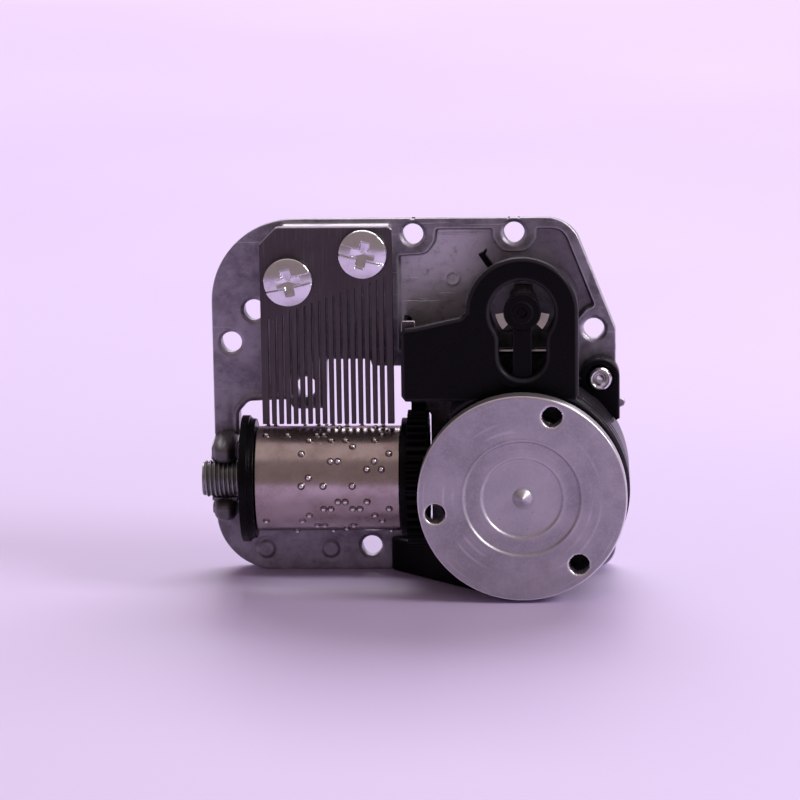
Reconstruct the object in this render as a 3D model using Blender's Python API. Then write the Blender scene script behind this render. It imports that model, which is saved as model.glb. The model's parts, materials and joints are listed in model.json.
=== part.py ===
"""Eighteen-note wind-up music movement with a turntable, standing on its long edge.

X runs along the comb and the cylinder, Z is up and Y runs from the works (-Y) to the
mounting side of the plate (+Y). The plate's front face is y = 0 before the whole
movement is shifted to its own centre. The key winds the arbor from the back. The drum
turns the turntable and, through a crown wheel, the pinned cylinder, and three more
gears drive the fan that holds the speed down.
"""
import bmesh
import bpy
import math
import random

MM = 0.001
TAU = 2 * math.pi

# Plate
PLATE_W = 50.5 * MM
PLATE_H = 45.0 * MM
PLATE_T = 3.2 * MM
CORNER_TOP_LEFT = 10.5 * MM
CORNER_BOTTOM_LEFT = 7.5 * MM
CORNER_BOTTOM_RIGHT = 3.0 * MM
SHOULDER_DROP = 14.2 * MM
SHOULDER_RUN = 5.6 * MM
SHOULDER_BLEND = 3.0 * MM
POCKET_DEPTH = 1.2 * MM
RIM = 1.2 * MM
MOUNT_HOLE_R = 1.3 * MM
LUG_REACH = 1.2 * MM
LUG_Z = 21.4 * MM
LUG_R = 0.6 * MM
PIP_R = 1.1 * MM
PIP_H = 0.25 * MM
RATCHET_WELL = (8.0 * MM, 1.7 * MM)

# Cylinder and comb
CYL_R = 6.53 * MM
CYL_RIGHT = -1.5 * MM
CYL_END = 0.875 * MM
CYL_AXIS_Y = -5.5 * MM
AXLE_R = 0.8 * MM
PIN_R = 0.22 * MM
PIN_H = 0.35 * MM
PIN_COUNT = 88
SPARSE_TRACKS = 5  # low notes at the left, seldom played
TEETH = 18
TOOTH_PITCH = 0.9 * MM
SLOT_W = 0.24 * MM
COMB_T = 1.0 * MM
COMB_TIP_GAP = 0.1 * MM
COMB_SIDE = 0.1 * MM
COMB_RISE = 0.0 * MM
COMB_CHAMFER = 2.1 * MM
SLOT_LEFT_DROP = 11.6 * MM
SLOT_RIGHT_DROP = 5.9 * MM
SCREW_R = 1.5 * MM
SCREW_HEAD_R = 3.05 * MM
SCREW_HEAD_H = 1.6 * MM
SCREW_LEN = 4.6 * MM
BUSH_R = 2.3 * MM
BUSH_LEN = 4.6 * MM
THREAD_PITCH = 0.55 * MM
THREAD_DEPTH = 0.18 * MM

CAP_LIP = 1.37 * MM
CAP_LEN = 1.85 * MM

# Spring drum and turntable
DRUM_X = 13.66 * MM
SKIRT_R = 13.2 * MM
TABLE_R = 12.82 * MM
TABLE_T = 2.4 * MM
TABLE_FRONT_Y = -16.9 * MM
TABLE_HOLE_R = 1.13 * MM
TABLE_HOLE_PCR = 10.8 * MM
DRUM_R = 9.2 * MM
DRUM_WALL = 0.8 * MM
ARBOR_R = 1.5 * MM
SPRING_T = 0.25 * MM
SPRING_TURNS = 5

# Gears: tooth counts and modules
CROWN_TEETH = 42
DRIVE_TEETH = 13
CROWN_MODULE = 0.5 * MM
CYL_GEAR_TEETH = 41
FIRST_PINION_TEETH = 18
CYL_MODULE = 0.4 * MM
FIRST_GEAR_TEETH = 16
WORM_PINION_TEETH = 8
FIRST_MODULE = 0.35 * MM
WORM_WHEEL_TEETH = 20
WORM_MODULE = 0.45 * MM
WORM_STARTS = 2
WORM_R = 1.5 * MM
BACKLASH = 0.05 * MM
SHAFT_R = 0.4 * MM

# Housing of the train and the governor
HOUSE_FRONT_Y = -12.6 * MM
HOUSE_WALL = 0.9 * MM
TOWER_R = 6.85 * MM
KEYHOLE_R = 3.95 * MM
KEYHOLE_SLOT_R = 2.9 * MM
ARM_LEFT_X = -1.1 * MM
FAN_R = 3.4 * MM
FLANGE_T = 1.15 * MM
EAR_R = 2.4 * MM
EAR_T = 3.2 * MM
EAR_DEG = 51.5
RIVET_R = 0.9 * MM
RIVET_HEAD_R = 1.45 * MM
LEVER_DEG = 126
BRIDGE_HUB_R = 2.3 * MM
FAN_HUB_R = 1.1 * MM

# Winding side
RATCHET_TEETH = 12
RATCHET_R = 5.4 * MM
ARBOR_THREAD_R = 1.1 * MM
KEY_HUB_R = 2.2 * MM
KEY_HUB_LEN = 5.0 * MM
KEY_REACH = 8.4 * MM
KEY_WING_R = 3.0 * MM
KEY_WING_T = 1.0 * MM
CLICK_PIN_R = 0.18 * MM
CLICK_BORE_R = 0.25 * MM

# Clearances
FIT = 0.1 * MM        # between a shaft or screw and its hole
GAP = 0.1 * MM        # between two faces that rest on each other
RUN = 0.3 * MM        # beside a turning piece

# Worked out from the sizes above
AXIS_Z = SKIRT_R
COMB_Y = CYL_AXIS_Y
COMB_BACK_Y = COMB_Y + COMB_T / 2
COMB_TIP_Z = AXIS_Z + CYL_R + PIN_H + COMB_TIP_GAP
CYL_LEFT = CYL_RIGHT - TEETH * TOOTH_PITCH - 2 * CYL_END
COMB_MID_X = (CYL_LEFT + CYL_RIGHT) / 2
COMB_HALF = TEETH * TOOTH_PITCH / 2 + COMB_SIDE
COMB_LEFT = COMB_MID_X - COMB_HALF
COMB_RIGHT = COMB_MID_X + COMB_HALF
COMB_TOP_Z = PLATE_H + COMB_RISE
SLOT_LEFT_Z = COMB_TOP_Z - SLOT_LEFT_DROP
SLOT_RIGHT_Z = COMB_TOP_Z - SLOT_RIGHT_DROP
LEFT = -PLATE_W / 2
RIGHT = PLATE_W / 2
CAP_LEFT = CYL_LEFT - CAP_LEN
CAP_R = CYL_R + CAP_LIP
SHOULDER_R = CAP_R - 0.4 * MM
TABLE_BACK_Y = TABLE_FRONT_Y + TABLE_T
CROWN_R = CROWN_TEETH * CROWN_MODULE / 2
CROWN_OUTER = CROWN_R + 0.9 * MM
DRIVE_R = DRIVE_TEETH * CROWN_MODULE / 2
DRIVE_X = DRUM_X - CROWN_R
CYL_GEAR_R = CYL_GEAR_TEETH * CYL_MODULE / 2
FIRST_PINION_R = FIRST_PINION_TEETH * CYL_MODULE / 2
FIRST_Z = AXIS_Z + CYL_GEAR_R + FIRST_PINION_R + BACKLASH
FIRST_GEAR_R = FIRST_GEAR_TEETH * FIRST_MODULE / 2
WORM_PINION_R = WORM_PINION_TEETH * FIRST_MODULE / 2
SECOND_Z = FIRST_Z + FIRST_GEAR_R + WORM_PINION_R + BACKLASH
WORM_WHEEL_R = WORM_WHEEL_TEETH * WORM_MODULE / 2
GOVERNOR_Z = SECOND_Z + WORM_WHEEL_R + WORM_R + BACKLASH
GOVERNOR_X = DRUM_X + 0.1 * MM
CYL_GEAR_X = (-0.65 * MM, 1.9 * MM)
WINDOW_HALF = math.sqrt(max(CAP_R, CYL_GEAR_R + CYL_MODULE) ** 2 - CYL_AXIS_Y ** 2) + 0.6 * MM
FIRST_PAIR_X = (6.8 * MM, 8.4 * MM)
WEB_X = (9.0 * MM, 9.6 * MM)
FAR_WEB_X = (GOVERNOR_X + 3.4 * MM, GOVERNOR_X + 4.0 * MM)
MOUNT_HOLES = [(LEFT + 2.35 * MM, 29.4 * MM), (LEFT + 5.3 * MM, 33.5 * MM),
               (0.05 * MM, PLATE_H - 2.0 * MM), (12.65 * MM, PLATE_H - 1.85 * MM),
               (RIGHT - 2.75 * MM, 30.9 * MM), (-5.65 * MM, 3.0 * MM),
               (COMB_LEFT + 5.1 * MM, AXIS_Z + 10.4 * MM)]
COMB_SCREWS = [(COMB_LEFT + 3.55 * MM, COMB_TOP_Z - 6.7 * MM),
               (COMB_RIGHT - 3.6 * MM, COMB_TOP_Z - 3.3 * MM)]
PIPS = [(-19.0 * MM, 2.7 * MM), (-10.85 * MM, 2.7 * MM)]
EAR_OUT = SKIRT_R + EAR_R - 0.13 * MM
EAR = (DRUM_X + EAR_OUT * math.cos(math.radians(EAR_DEG)),
       AXIS_Z + EAR_OUT * math.sin(math.radians(EAR_DEG)))
LEVER_PIVOT = (GOVERNOR_X - 3.01 * MM, 0, GOVERNOR_Z + 2.9 * MM)
CROWN_ROOT_Y = CYL_AXIS_Y + DRIVE_R + 0.4 * MM
CROWN_TIP_Y = CYL_AXIS_Y + DRIVE_R - 0.3 * MM
CROWN_BACK_Y = CROWN_ROOT_Y + 0.5 * MM
HOUSE_OPEN_X = DRUM_X - 9.0 * MM

# The movement's own box runs from the bush's end to the skirt and from key to table
BUSH_LEFT_X = LEFT - 1.05 * MM
KEY_BACK_Y = PLATE_T + 10.6 * MM
SHIFT_X = -(BUSH_LEFT_X + DRUM_X + SKIRT_R) / 2
SHIFT_Y = -(KEY_BACK_Y + TABLE_FRONT_Y) / 2


def clear_scene():
    for obj in list(bpy.data.objects):
        bpy.data.objects.remove(obj, do_unlink=True)


def material(name, colour, roughness, metallic):
    mat = bpy.data.materials.new(name)
    mat.use_nodes = True
    shader = mat.node_tree.nodes["Principled BSDF"]
    shader.inputs["Base Color"].default_value = (*colour, 1.0)
    shader.inputs["Roughness"].default_value = roughness
    shader.inputs["Metallic"].default_value = metallic
    return mat


def finish_object(name, bm, mat, location=(0, 0, 0), parent=None):
    """Make an object of the finished mesh, with its faces turned outwards."""
    bmesh.ops.recalc_face_normals(bm, faces=bm.faces[:])
    mesh = bpy.data.meshes.new(name)
    bm.to_mesh(mesh)
    bm.free()
    mesh.shade_smooth()
    mesh.set_sharp_from_angle(angle=math.radians(35))
    obj = bpy.data.objects.new(name, mesh)
    bpy.context.collection.objects.link(obj)
    obj.location = location
    obj.parent = parent
    if mat is not None:
        mesh.materials.append(mat)
    return obj


def boolean(obj, tool, operation):
    """Cut the tool from the object, or join it on, and keep the tool as a guide."""
    tool.hide_render = True
    tool.display_type = "WIRE"
    tool.parent = obj.parent
    mod = obj.modifiers.new(operation.title(), "BOOLEAN")
    mod.operation = operation
    mod.solver = "EXACT"
    mod.object = tool
    return obj


def cut(obj, *tools):
    for tool in tools:
        boolean(obj, tool, "DIFFERENCE")
    return obj


def join(obj, *tools):
    for tool in tools:
        boolean(obj, tool, "UNION")
    return obj


def arc(centre, radius, start, end, steps):
    """Points of an arc, angles in degrees, both ends included."""
    angles = [math.radians(start + (end - start) * k / steps) for k in range(steps + 1)]
    return [(centre[0] + radius * math.cos(a), centre[1] + radius * math.sin(a)) for a in angles]


def circle(centre, radius, steps=32):
    return arc(centre, radius, 0, 360, steps)[:-1]


def plate_mesh(outline, low, high, axis="Y"):
    """A flat outline drawn out from low to high: (x, z) along Y, or (y, z) along X."""
    bm = bmesh.new()
    ends = []
    for level in (low, high):
        if axis == "Y":
            ends.append([bm.verts.new((u, level, v)) for u, v in outline])
        else:
            ends.append([bm.verts.new((level, u, v)) for u, v in outline])
    count = len(outline)
    for verts in ends:
        bm.faces.new(verts)
    for k in range(count):
        n = (k + 1) % count
        bm.faces.new((ends[0][k], ends[0][n], ends[1][n], ends[1][k]))
    return bm


def box_mesh(x, y, z):
    return plate_mesh([(x[0], z[0]), (x[1], z[0]), (x[1], z[1]), (x[0], z[1])], *y)


def ring_mesh(outer, bore, low, high, axis):
    """A toothed or round outline with a round bore, drawn out along the axis."""
    bm = bmesh.new()
    count = len(outer)
    start = math.atan2(outer[0][1], outer[0][0])
    inner = [(bore * math.cos(start + TAU * k / count), bore * math.sin(start + TAU * k / count))
             for k in range(count)]
    rows = []
    for level, loop in ((low, outer), (high, outer), (high, inner), (low, inner)):
        if axis == "Y":
            rows.append([bm.verts.new((u, level, v)) for u, v in loop])
        else:
            rows.append([bm.verts.new((level, u, v)) for u, v in loop])
    for r in range(4):
        for k in range(count):
            n = (k + 1) % count
            bm.faces.new((rows[r][k], rows[r][n], rows[(r + 1) % 4][n], rows[(r + 1) % 4][k]))
    return bm


def make_gear(name, outline, bore, span, axis, mat, place, root):
    """A toothed wheel drawn out along its axis, with a round bore through it."""
    wheel = finish_object(name, plate_mesh(outline, *span, axis), mat, place, root)
    tool = finish_object(name + "_bore", plate_mesh(circle((0, 0), bore, 16), span[0] - 1 * MM,
                                                    span[1] + 1 * MM, axis), None, place)
    return cut(wheel, tool)


def turned_mesh(profile, axis, steps=32, closed=False):
    """Turn (along, radius) points round the axis; a closed profile leaves a bore."""
    bm = bmesh.new()
    if axis == "Y":
        verts = [bm.verts.new((r, a, 0)) for a, r in profile]
        turn = (0, 1, 0)
    else:
        verts = [bm.verts.new((a, 0, r)) for a, r in profile]
        turn = (1, 0, 0)
    edges = [bm.edges.new(pair) for pair in zip(verts, verts[1:])]
    if closed:
        edges.append(bm.edges.new((verts[-1], verts[0])))
    bmesh.ops.spin(bm, geom=verts + edges, cent=(0, 0, 0), axis=turn, angle=TAU, steps=steps,
                   use_merge=True)
    bmesh.ops.remove_doubles(bm, verts=bm.verts[:], dist=1e-7)
    return bm


def rod(low, high, radius, chamfer=0.0):
    """Profile of a plain rod with a small chamfer at both ends."""
    if chamfer == 0:
        return [(low, 0), (low, radius), (high, radius), (high, 0)]
    return [(low, 0), (low, radius - chamfer), (low + chamfer, radius),
            (high - chamfer, radius), (high, radius - chamfer), (high, 0)]


def tooth_outline(teeth, module, centre_deg, addendum=0.75, dedendum=1.0):
    """Outline of a spur gear with straight flanks; one tooth is centred on centre_deg."""
    pitch_r = teeth * module / 2
    tip = pitch_r + addendum * module
    root = pitch_r - dedendum * module
    step = TAU / teeth
    points = []
    for k in range(teeth):
        mid = math.radians(centre_deg) + k * step
        for radius, part in ((root, -0.31), (tip, -0.12), (tip, 0.12), (root, 0.31)):
            angle = mid + part * step
            points.append((radius * math.cos(angle), radius * math.sin(angle)))
    return points


# ---------------------------------------------------------------- plate

def plate_outline():
    """The cast plate seen from the front: two big round corners and a slanted shoulder."""
    tl, bl, br = CORNER_TOP_LEFT, CORNER_BOTTOM_LEFT, CORNER_BOTTOM_RIGHT
    shoulder_top = (RIGHT - SHOULDER_RUN, PLATE_H)
    shoulder_low = (RIGHT, PLATE_H - SHOULDER_DROP)
    blend = SHOULDER_BLEND
    dx, dz = shoulder_low[0] - shoulder_top[0], shoulder_low[1] - shoulder_top[1]
    length = math.hypot(dx, dz)
    on_slope = (shoulder_top[0] + dx * blend / length, shoulder_top[1] + dz * blend / length)
    corner = [(shoulder_top[0] - blend, PLATE_H), shoulder_top, on_slope]
    rounded = [((1 - t) ** 2 * corner[0][0] + 2 * t * (1 - t) * corner[1][0] + t * t * corner[2][0],
                (1 - t) ** 2 * corner[0][1] + 2 * t * (1 - t) * corner[1][1] + t * t * corner[2][1])
               for t in (0, 0.25, 0.5, 0.75, 1)]
    return (arc((LEFT + bl, bl), bl, 180, 270, 8)
            + arc((RIGHT - br, br), br, 270, 360, 4)
            + [shoulder_low] + rounded[::-1]
            + arc((LEFT + tl, PLATE_H - tl), tl, 90, 180, 8))


def window_outline():
    """The opening that the cylinder and its gear dip into, with its stepped top edge."""
    left = CAP_LEFT - 0.8 * MM
    right = CYL_GEAR_X[1] + 0.5 * MM
    low = AXIS_Z - WINDOW_HALF
    top = AXIS_Z + WINDOW_HALF + 1.5 * MM
    step = COMB_LEFT + 7.5 * MM
    return [(left, low), (right, low), (right, top - 1.7 * MM), (right - 1.6 * MM, top),
            (right - 1.6 * MM, top + 4.5 * MM), (step + 5.9 * MM, top + 4.5 * MM),
            (step + 5.7 * MM, top + 5.4 * MM), (step + 0.2 * MM, top + 5.4 * MM), (step, top - 0.9 * MM),
            (step - 4.1 * MM, top - 0.9 * MM), (step - 4.6 * MM, top), (left, top)]


def rim_x(z):
    """X of the pocket's edge along the slanted shoulder, one rim width inside it."""
    slope = SHOULDER_RUN / SHOULDER_DROP
    return RIGHT - slope * (z - PLATE_H + SHOULDER_DROP) - RIM * math.hypot(1, slope)


def pocket_outline():
    """The shallow pocket behind the governor, inside the plate's rim."""
    top = PLATE_H - RIM
    start = COMB_RIGHT + 1.0 * MM
    low = FIRST_Z - 1.4 * MM
    boss_z = MOUNT_HOLES[4][1]
    left_boss, right_boss = MOUNT_HOLES[2][0], MOUNT_HOLES[3][0]
    return [(start, AXIS_Z + 14.8 * MM), (5.0 * MM, AXIS_Z + 14.8 * MM), (5.0 * MM, low),
            (20.4 * MM, low), (20.4 * MM, boss_z + 0.5 * MM), (21.4 * MM, boss_z + 2.3 * MM),
            (rim_x(boss_z + 2.9 * MM), boss_z + 2.9 * MM), (rim_x(top - 2.6 * MM), top - 2.6 * MM),
            (rim_x(top - 0.8 * MM) - 0.6 * MM, top - 0.8 * MM), (rim_x(top) - 2.2 * MM, top),
            (right_boss + 2.9 * MM, top), (right_boss + 2.6 * MM, top - 1.8 * MM),
            (right_boss + 0.8 * MM, top - 3.4 * MM), (right_boss - 1.5 * MM, top - 3.0 * MM),
            (right_boss - 2.5 * MM, top), (left_boss + 2.9 * MM, top),
            (left_boss + 2.6 * MM, top - 1.8 * MM), (left_boss + 1.2 * MM, top - 3.1 * MM),
            (start, top - 3.3 * MM)]


def ledge_outline():
    """The raised seat under the comb's solid back, which follows the ends of its slots."""
    left = COMB_LEFT + 0.5 * MM
    right = COMB_RIGHT - 0.3 * MM
    top = COMB_TOP_Z - 0.5 * MM
    return [(left, SLOT_LEFT_Z + 1.5 * MM), (right, SLOT_RIGHT_Z + 1.5 * MM), (right, top),
            (left + 2.0 * MM, top), (left, top - 2.0 * MM)]


def make_plate(mat, root):
    body = finish_object("base_plate", plate_mesh(plate_outline(), 0, PLATE_T), mat, parent=root)
    block_x = (LEFT + 0.02 * MM, CAP_LEFT - 0.8 * MM)
    block_z = (AXIS_Z - 4.6 * MM, AXIS_Z + 5.8 * MM)
    block_y = (CYL_AXIS_Y - BUSH_R * 0.8, PLATE_T / 2)
    adds = [finish_object("comb_seat", plate_mesh(ledge_outline(), COMB_BACK_Y + GAP, PLATE_T / 2), None),
            finish_object("bush_block", box_mesh(block_x, block_y, block_z), None),
            finish_object("side_lug", plate_mesh(
                arc((RIGHT + LUG_REACH - LUG_R, LUG_Z), LUG_R, -90, 90, 6)
                + [(RIGHT - 1.0 * MM, LUG_Z + LUG_R), (RIGHT - 1.0 * MM, LUG_Z - LUG_R)],
                0.2 * MM, 1.3 * MM), None)]
    for k, place in enumerate(PIPS):
        adds.append(finish_object("pip_%d" % k, plate_mesh(circle(place, PIP_R, 16),
                                                           -PIP_H, PLATE_T / 2), None))
    join(body, *adds)
    deep = PLATE_T + 2 * MM
    cuts = [finish_object("window_cut", plate_mesh(window_outline(), -2 * MM, deep), None),
            finish_object("pocket_cut", plate_mesh(pocket_outline(), -1 * MM, POCKET_DEPTH), None),
            finish_object("bush_cut", plate_mesh(
                arc((CYL_AXIS_Y, AXIS_Z), BUSH_R + GAP, -90, 90, 12)
                + [(block_y[0] - 1 * MM, AXIS_Z + BUSH_R + GAP),
                   (block_y[0] - 1 * MM, AXIS_Z - BUSH_R - GAP)],
                block_x[0] - 1 * MM, block_x[1] + 1 * MM, "X"), None)]
    for k, place in enumerate(MOUNT_HOLES):
        cuts.append(finish_object("mount_cut_%d" % k, plate_mesh(
            circle(place, MOUNT_HOLE_R, 20), -2 * MM, deep), None))
    for k, place in enumerate(COMB_SCREWS):
        cuts.append(finish_object("screw_cut_%d" % k, plate_mesh(
            circle(place, SCREW_R + FIT, 20), COMB_BACK_Y - 1 * MM, deep), None))
    cuts.append(finish_object("rivet_cut", plate_mesh(
        circle(EAR, RIVET_R + FIT, 16), -2 * MM, deep), None))
    cuts.append(finish_object("arbor_cut", plate_mesh(
        circle((DRUM_X, AXIS_Z), ARBOR_R + FIT, 24), -2 * MM, deep), None))
    cuts.append(finish_object("ratchet_cut", plate_mesh(
        circle((DRUM_X, AXIS_Z), RATCHET_WELL[0], 32), -2 * MM, RATCHET_WELL[1]), None))
    return cut(body, *cuts)


def comb_outline():
    """The comb: a solid back and teeth whose slots end on a slanted line."""
    left, right = COMB_LEFT, COMB_RIGHT
    points = []
    for k in range(TEETH):
        x0 = left + COMB_SIDE + k * TOOTH_PITCH + SLOT_W / 2
        x1 = x0 + TOOTH_PITCH - SLOT_W
        root0 = SLOT_LEFT_Z + (SLOT_RIGHT_Z - SLOT_LEFT_Z) * (k - 0.5) / (TEETH - 1)
        root1 = SLOT_LEFT_Z + (SLOT_RIGHT_Z - SLOT_LEFT_Z) * (k + 0.5) / (TEETH - 1)
        if k == 0:
            points.append((left, SLOT_LEFT_Z))
        else:
            points.append((x0, root0))
        points += [(x0, COMB_TIP_Z), (x1, COMB_TIP_Z)]
        if k == TEETH - 1:
            points.append((right, SLOT_RIGHT_Z))
        else:
            points.append((x1, root1))
    return points + [(right, COMB_TOP_Z - 0.4 * MM), (right - 0.4 * MM, COMB_TOP_Z),
                     (left + COMB_CHAMFER, COMB_TOP_Z), (left, COMB_TOP_Z - COMB_CHAMFER)]


def make_comb(mat, root):
    comb = finish_object("comb", plate_mesh(comb_outline(), COMB_Y - COMB_T / 2, COMB_BACK_Y), mat,
                         parent=root)
    for k, place in enumerate(COMB_SCREWS):
        cut(comb, finish_object("comb_hole_%d" % k, plate_mesh(
            circle(place, SCREW_R + FIT, 20), COMB_Y - 2 * MM, COMB_Y + 2 * MM), None))
    return comb


def make_comb_screw(name, place, turn, mat, root):
    """Pan-head screw with a cross recess, its head resting on the comb."""
    seat = COMB_Y - COMB_T / 2 - GAP
    head = -SCREW_HEAD_H
    profile = [(head, 0), (head + 0.12 * MM, SCREW_HEAD_R * 0.55), (head + 0.5 * MM, SCREW_HEAD_R * 0.88),
               (head + 1.0 * MM, SCREW_HEAD_R), (0, SCREW_HEAD_R), (0, SCREW_R), (SCREW_LEN, SCREW_R),
               (SCREW_LEN, 0)]
    screw = finish_object(name, turned_mesh(profile, "Y", 28), mat, (place[0], seat, place[1]), root)
    for k, angle in enumerate((turn, turn + 90)):
        arm = finish_object("%s_slot_%d" % (name, k), box_mesh(
            (-1.55 * MM, 1.55 * MM), (head - 1 * MM, head + 0.9 * MM), (-0.3 * MM, 0.3 * MM)), None)
        arm.location = screw.location
        arm.rotation_euler = (0, math.radians(-angle), 0)
        cut(screw, arm)
    return screw


# ---------------------------------------------------------------- cylinder

def make_cylinder(mats, root):
    """The pinned sleeve, its end cap, its big gear, the drive pinion and the steel axle."""
    place = (0, CYL_AXIS_Y, AXIS_Z)
    bore = AXLE_R + FIT / 2
    sleeve = finish_object("cylinder", turned_mesh(
        [(CYL_LEFT, CYL_R - 1 * MM), (CYL_LEFT, CYL_R), (CYL_RIGHT, CYL_R), (CYL_RIGHT, CYL_R - 1 * MM)],
        "X", 48, closed=True), mats["sleeve"], place, root)
    rng = random.Random(18)
    pins = bmesh.new()
    used = []
    while len(used) < PIN_COUNT:
        track = rng.randrange(TEETH)
        beat = rng.randrange(40)
        if track < SPARSE_TRACKS and beat % 4:
            continue
        if any(t == track and min((b - beat) % 40, (beat - b) % 40) < 3 for t, b in used):
            continue
        used.append((track, beat))
        x = COMB_MID_X + (track - (TEETH - 1) / 2) * TOOTH_PITCH
        angle = TAU * (beat + 0.5) / 40
        out = (math.cos(angle), math.sin(angle))
        side = (-out[1], out[0])
        rings = []
        for reach in (CYL_R - 0.4 * MM, CYL_R + PIN_H):
            rings.append([pins.verts.new((x + PIN_R * math.cos(t),
                                          out[0] * reach + side[0] * PIN_R * math.sin(t),
                                          out[1] * reach + side[1] * PIN_R * math.sin(t)))
                          for t in (TAU * (k + 0.5) / 6 for k in range(6))])
        for ring in rings:
            pins.faces.new(ring)
        for k in range(6):
            n = (k + 1) % 6
            pins.faces.new((rings[0][k], rings[0][n], rings[1][n], rings[1][k]))
    join(sleeve, finish_object("pins", pins, None, place))
    finish_object("cylinder_end_cap", turned_mesh(
        [(CAP_LEFT, bore), (CAP_LEFT, CAP_R - 0.2 * MM), (CAP_LEFT + 0.2 * MM, CAP_R),
         (CAP_LEFT + 1.1 * MM, CAP_R),
         (CAP_LEFT + 1.2 * MM, SHOULDER_R), (CYL_LEFT - GAP, SHOULDER_R), (CYL_LEFT - GAP, CYL_R - 1.1 * MM),
         (CYL_LEFT + 1.2 * MM, CYL_R - 1.1 * MM), (CYL_LEFT + 1.2 * MM, bore)],
        "X", 40, closed=True), mats["plastic"], place, root)
    gear = finish_object("cylinder_gear", plate_mesh(
        tooth_outline(CYL_GEAR_TEETH, CYL_MODULE, 90), *CYL_GEAR_X, "X"), mats["plastic"], place, root)
    join(gear, finish_object("gear_flange", turned_mesh(
        [(CYL_RIGHT - 1.2 * MM, 0), (CYL_RIGHT - 1.2 * MM, CYL_R - 1.1 * MM),
         (CYL_RIGHT + GAP, CYL_R - 1.1 * MM), (CYL_RIGHT + GAP, SHOULDER_R),
         (CYL_GEAR_X[0] + 0.2 * MM, SHOULDER_R), (CYL_GEAR_X[0] + 0.2 * MM, 0)], "X", 40), None, place))
    cut(gear, finish_object("gear_bore", plate_mesh(circle((0, 0), bore, 16), CYL_RIGHT - 3 * MM,
                                                    CYL_GEAR_X[1] + 2 * MM, "X"), None, place))
    make_gear("drive_pinion", tooth_outline(DRIVE_TEETH, CROWN_MODULE, 0, 0.6, 0.9), bore,
              (DRIVE_X - 0.8 * MM, DRIVE_X + 0.8 * MM), "X", mats["brass"], place, root)
    finish_object("cylinder_axle", turned_mesh(
        rod(BUSH_LEFT_X + 2.0 * MM, DRIVE_X + 1.0 * MM, AXLE_R, 0.2 * MM), "X", 16),
        mats["steel"], place, root)


def make_bush(mat, root):
    """Threaded bearing bush, which a screwdriver turns to set the cylinder's end play."""
    start = BUSH_LEFT_X
    turns = int(BUSH_LEN / THREAD_PITCH)
    profile = [(start, BUSH_R - 2 * THREAD_DEPTH)]
    for k in range(turns):
        left = start + k * THREAD_PITCH
        profile += [(left + 0.5 * THREAD_PITCH, BUSH_R), (left + THREAD_PITCH, BUSH_R - THREAD_DEPTH)]
    end = CAP_LEFT - RUN
    profile = [p for p in profile if p[0] < end - 0.01 * MM]
    profile += [(end, BUSH_R - THREAD_DEPTH), (end, AXLE_R + FIT), (start + 1.8 * MM, AXLE_R + FIT),
                (start + 1.8 * MM, 0.7 * MM), (start, 0.7 * MM)]
    return finish_object("bearing_bush", turned_mesh(profile, "X", 18, closed=True), mat,
                         (0, CYL_AXIS_Y, AXIS_Z), root)


# ---------------------------------------------------------------- drum and turntable

def crown_mesh():
    """A ring whose front face carries radial teeth, with a gap centred towards -X."""
    bm = bmesh.new()
    step = TAU / CROWN_TEETH
    inner, outer = CROWN_R - 0.95 * MM, CROWN_OUTER
    bore = ARBOR_R + FIT
    rows = []
    for k in range(CROWN_TEETH):
        mid = math.pi + (k + 0.5) * step
        for part, top in ((-0.31, CROWN_ROOT_Y), (-0.13, CROWN_TIP_Y), (0.13, CROWN_TIP_Y),
                          (0.31, CROWN_ROOT_Y)):
            a = mid + part * step
            shape = [(bore, CROWN_BACK_Y), (outer, CROWN_BACK_Y), (outer, top), (inner, top),
                     (inner - 0.15 * MM, CROWN_ROOT_Y), (bore, CROWN_ROOT_Y)]
            rows.append([bm.verts.new((r * math.cos(a), y, r * math.sin(a))) for r, y in shape])
    for k, row in enumerate(rows):
        after = rows[(k + 1) % len(rows)]
        for j in range(len(row)):
            n = (j + 1) % len(row)
            bm.faces.new((row[j], row[n], after[n], after[j]))
    return bm


def spring_mesh():
    """Flat coil spring: a strip wound from near the arbor to near the drum's wall."""
    bm = bmesh.new()
    per_turn = 18
    steps = SPRING_TURNS * per_turn
    first, last = ARBOR_R + 1.4 * MM, DRUM_R - DRUM_WALL - 0.5 * MM
    low, high = HOUSE_FRONT_Y + 1.6 * MM, CROWN_TIP_Y - 0.6 * MM
    rows = []
    for k in range(steps + 1):
        a = TAU * k / per_turn
        r = first + (last - first) * k / steps
        rows.append([bm.verts.new(((r + s) * math.cos(a), y, (r + s) * math.sin(a)))
                     for s, y in ((0, low), (SPRING_T, low), (SPRING_T, high), (0, high))])
    for row, after in zip(rows, rows[1:]):
        for j in range(4):
            n = (j + 1) % 4
            bm.faces.new((row[j], row[n], after[n], after[j]))
    bm.faces.new(rows[0])
    bm.faces.new(rows[-1])
    return bm


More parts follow.
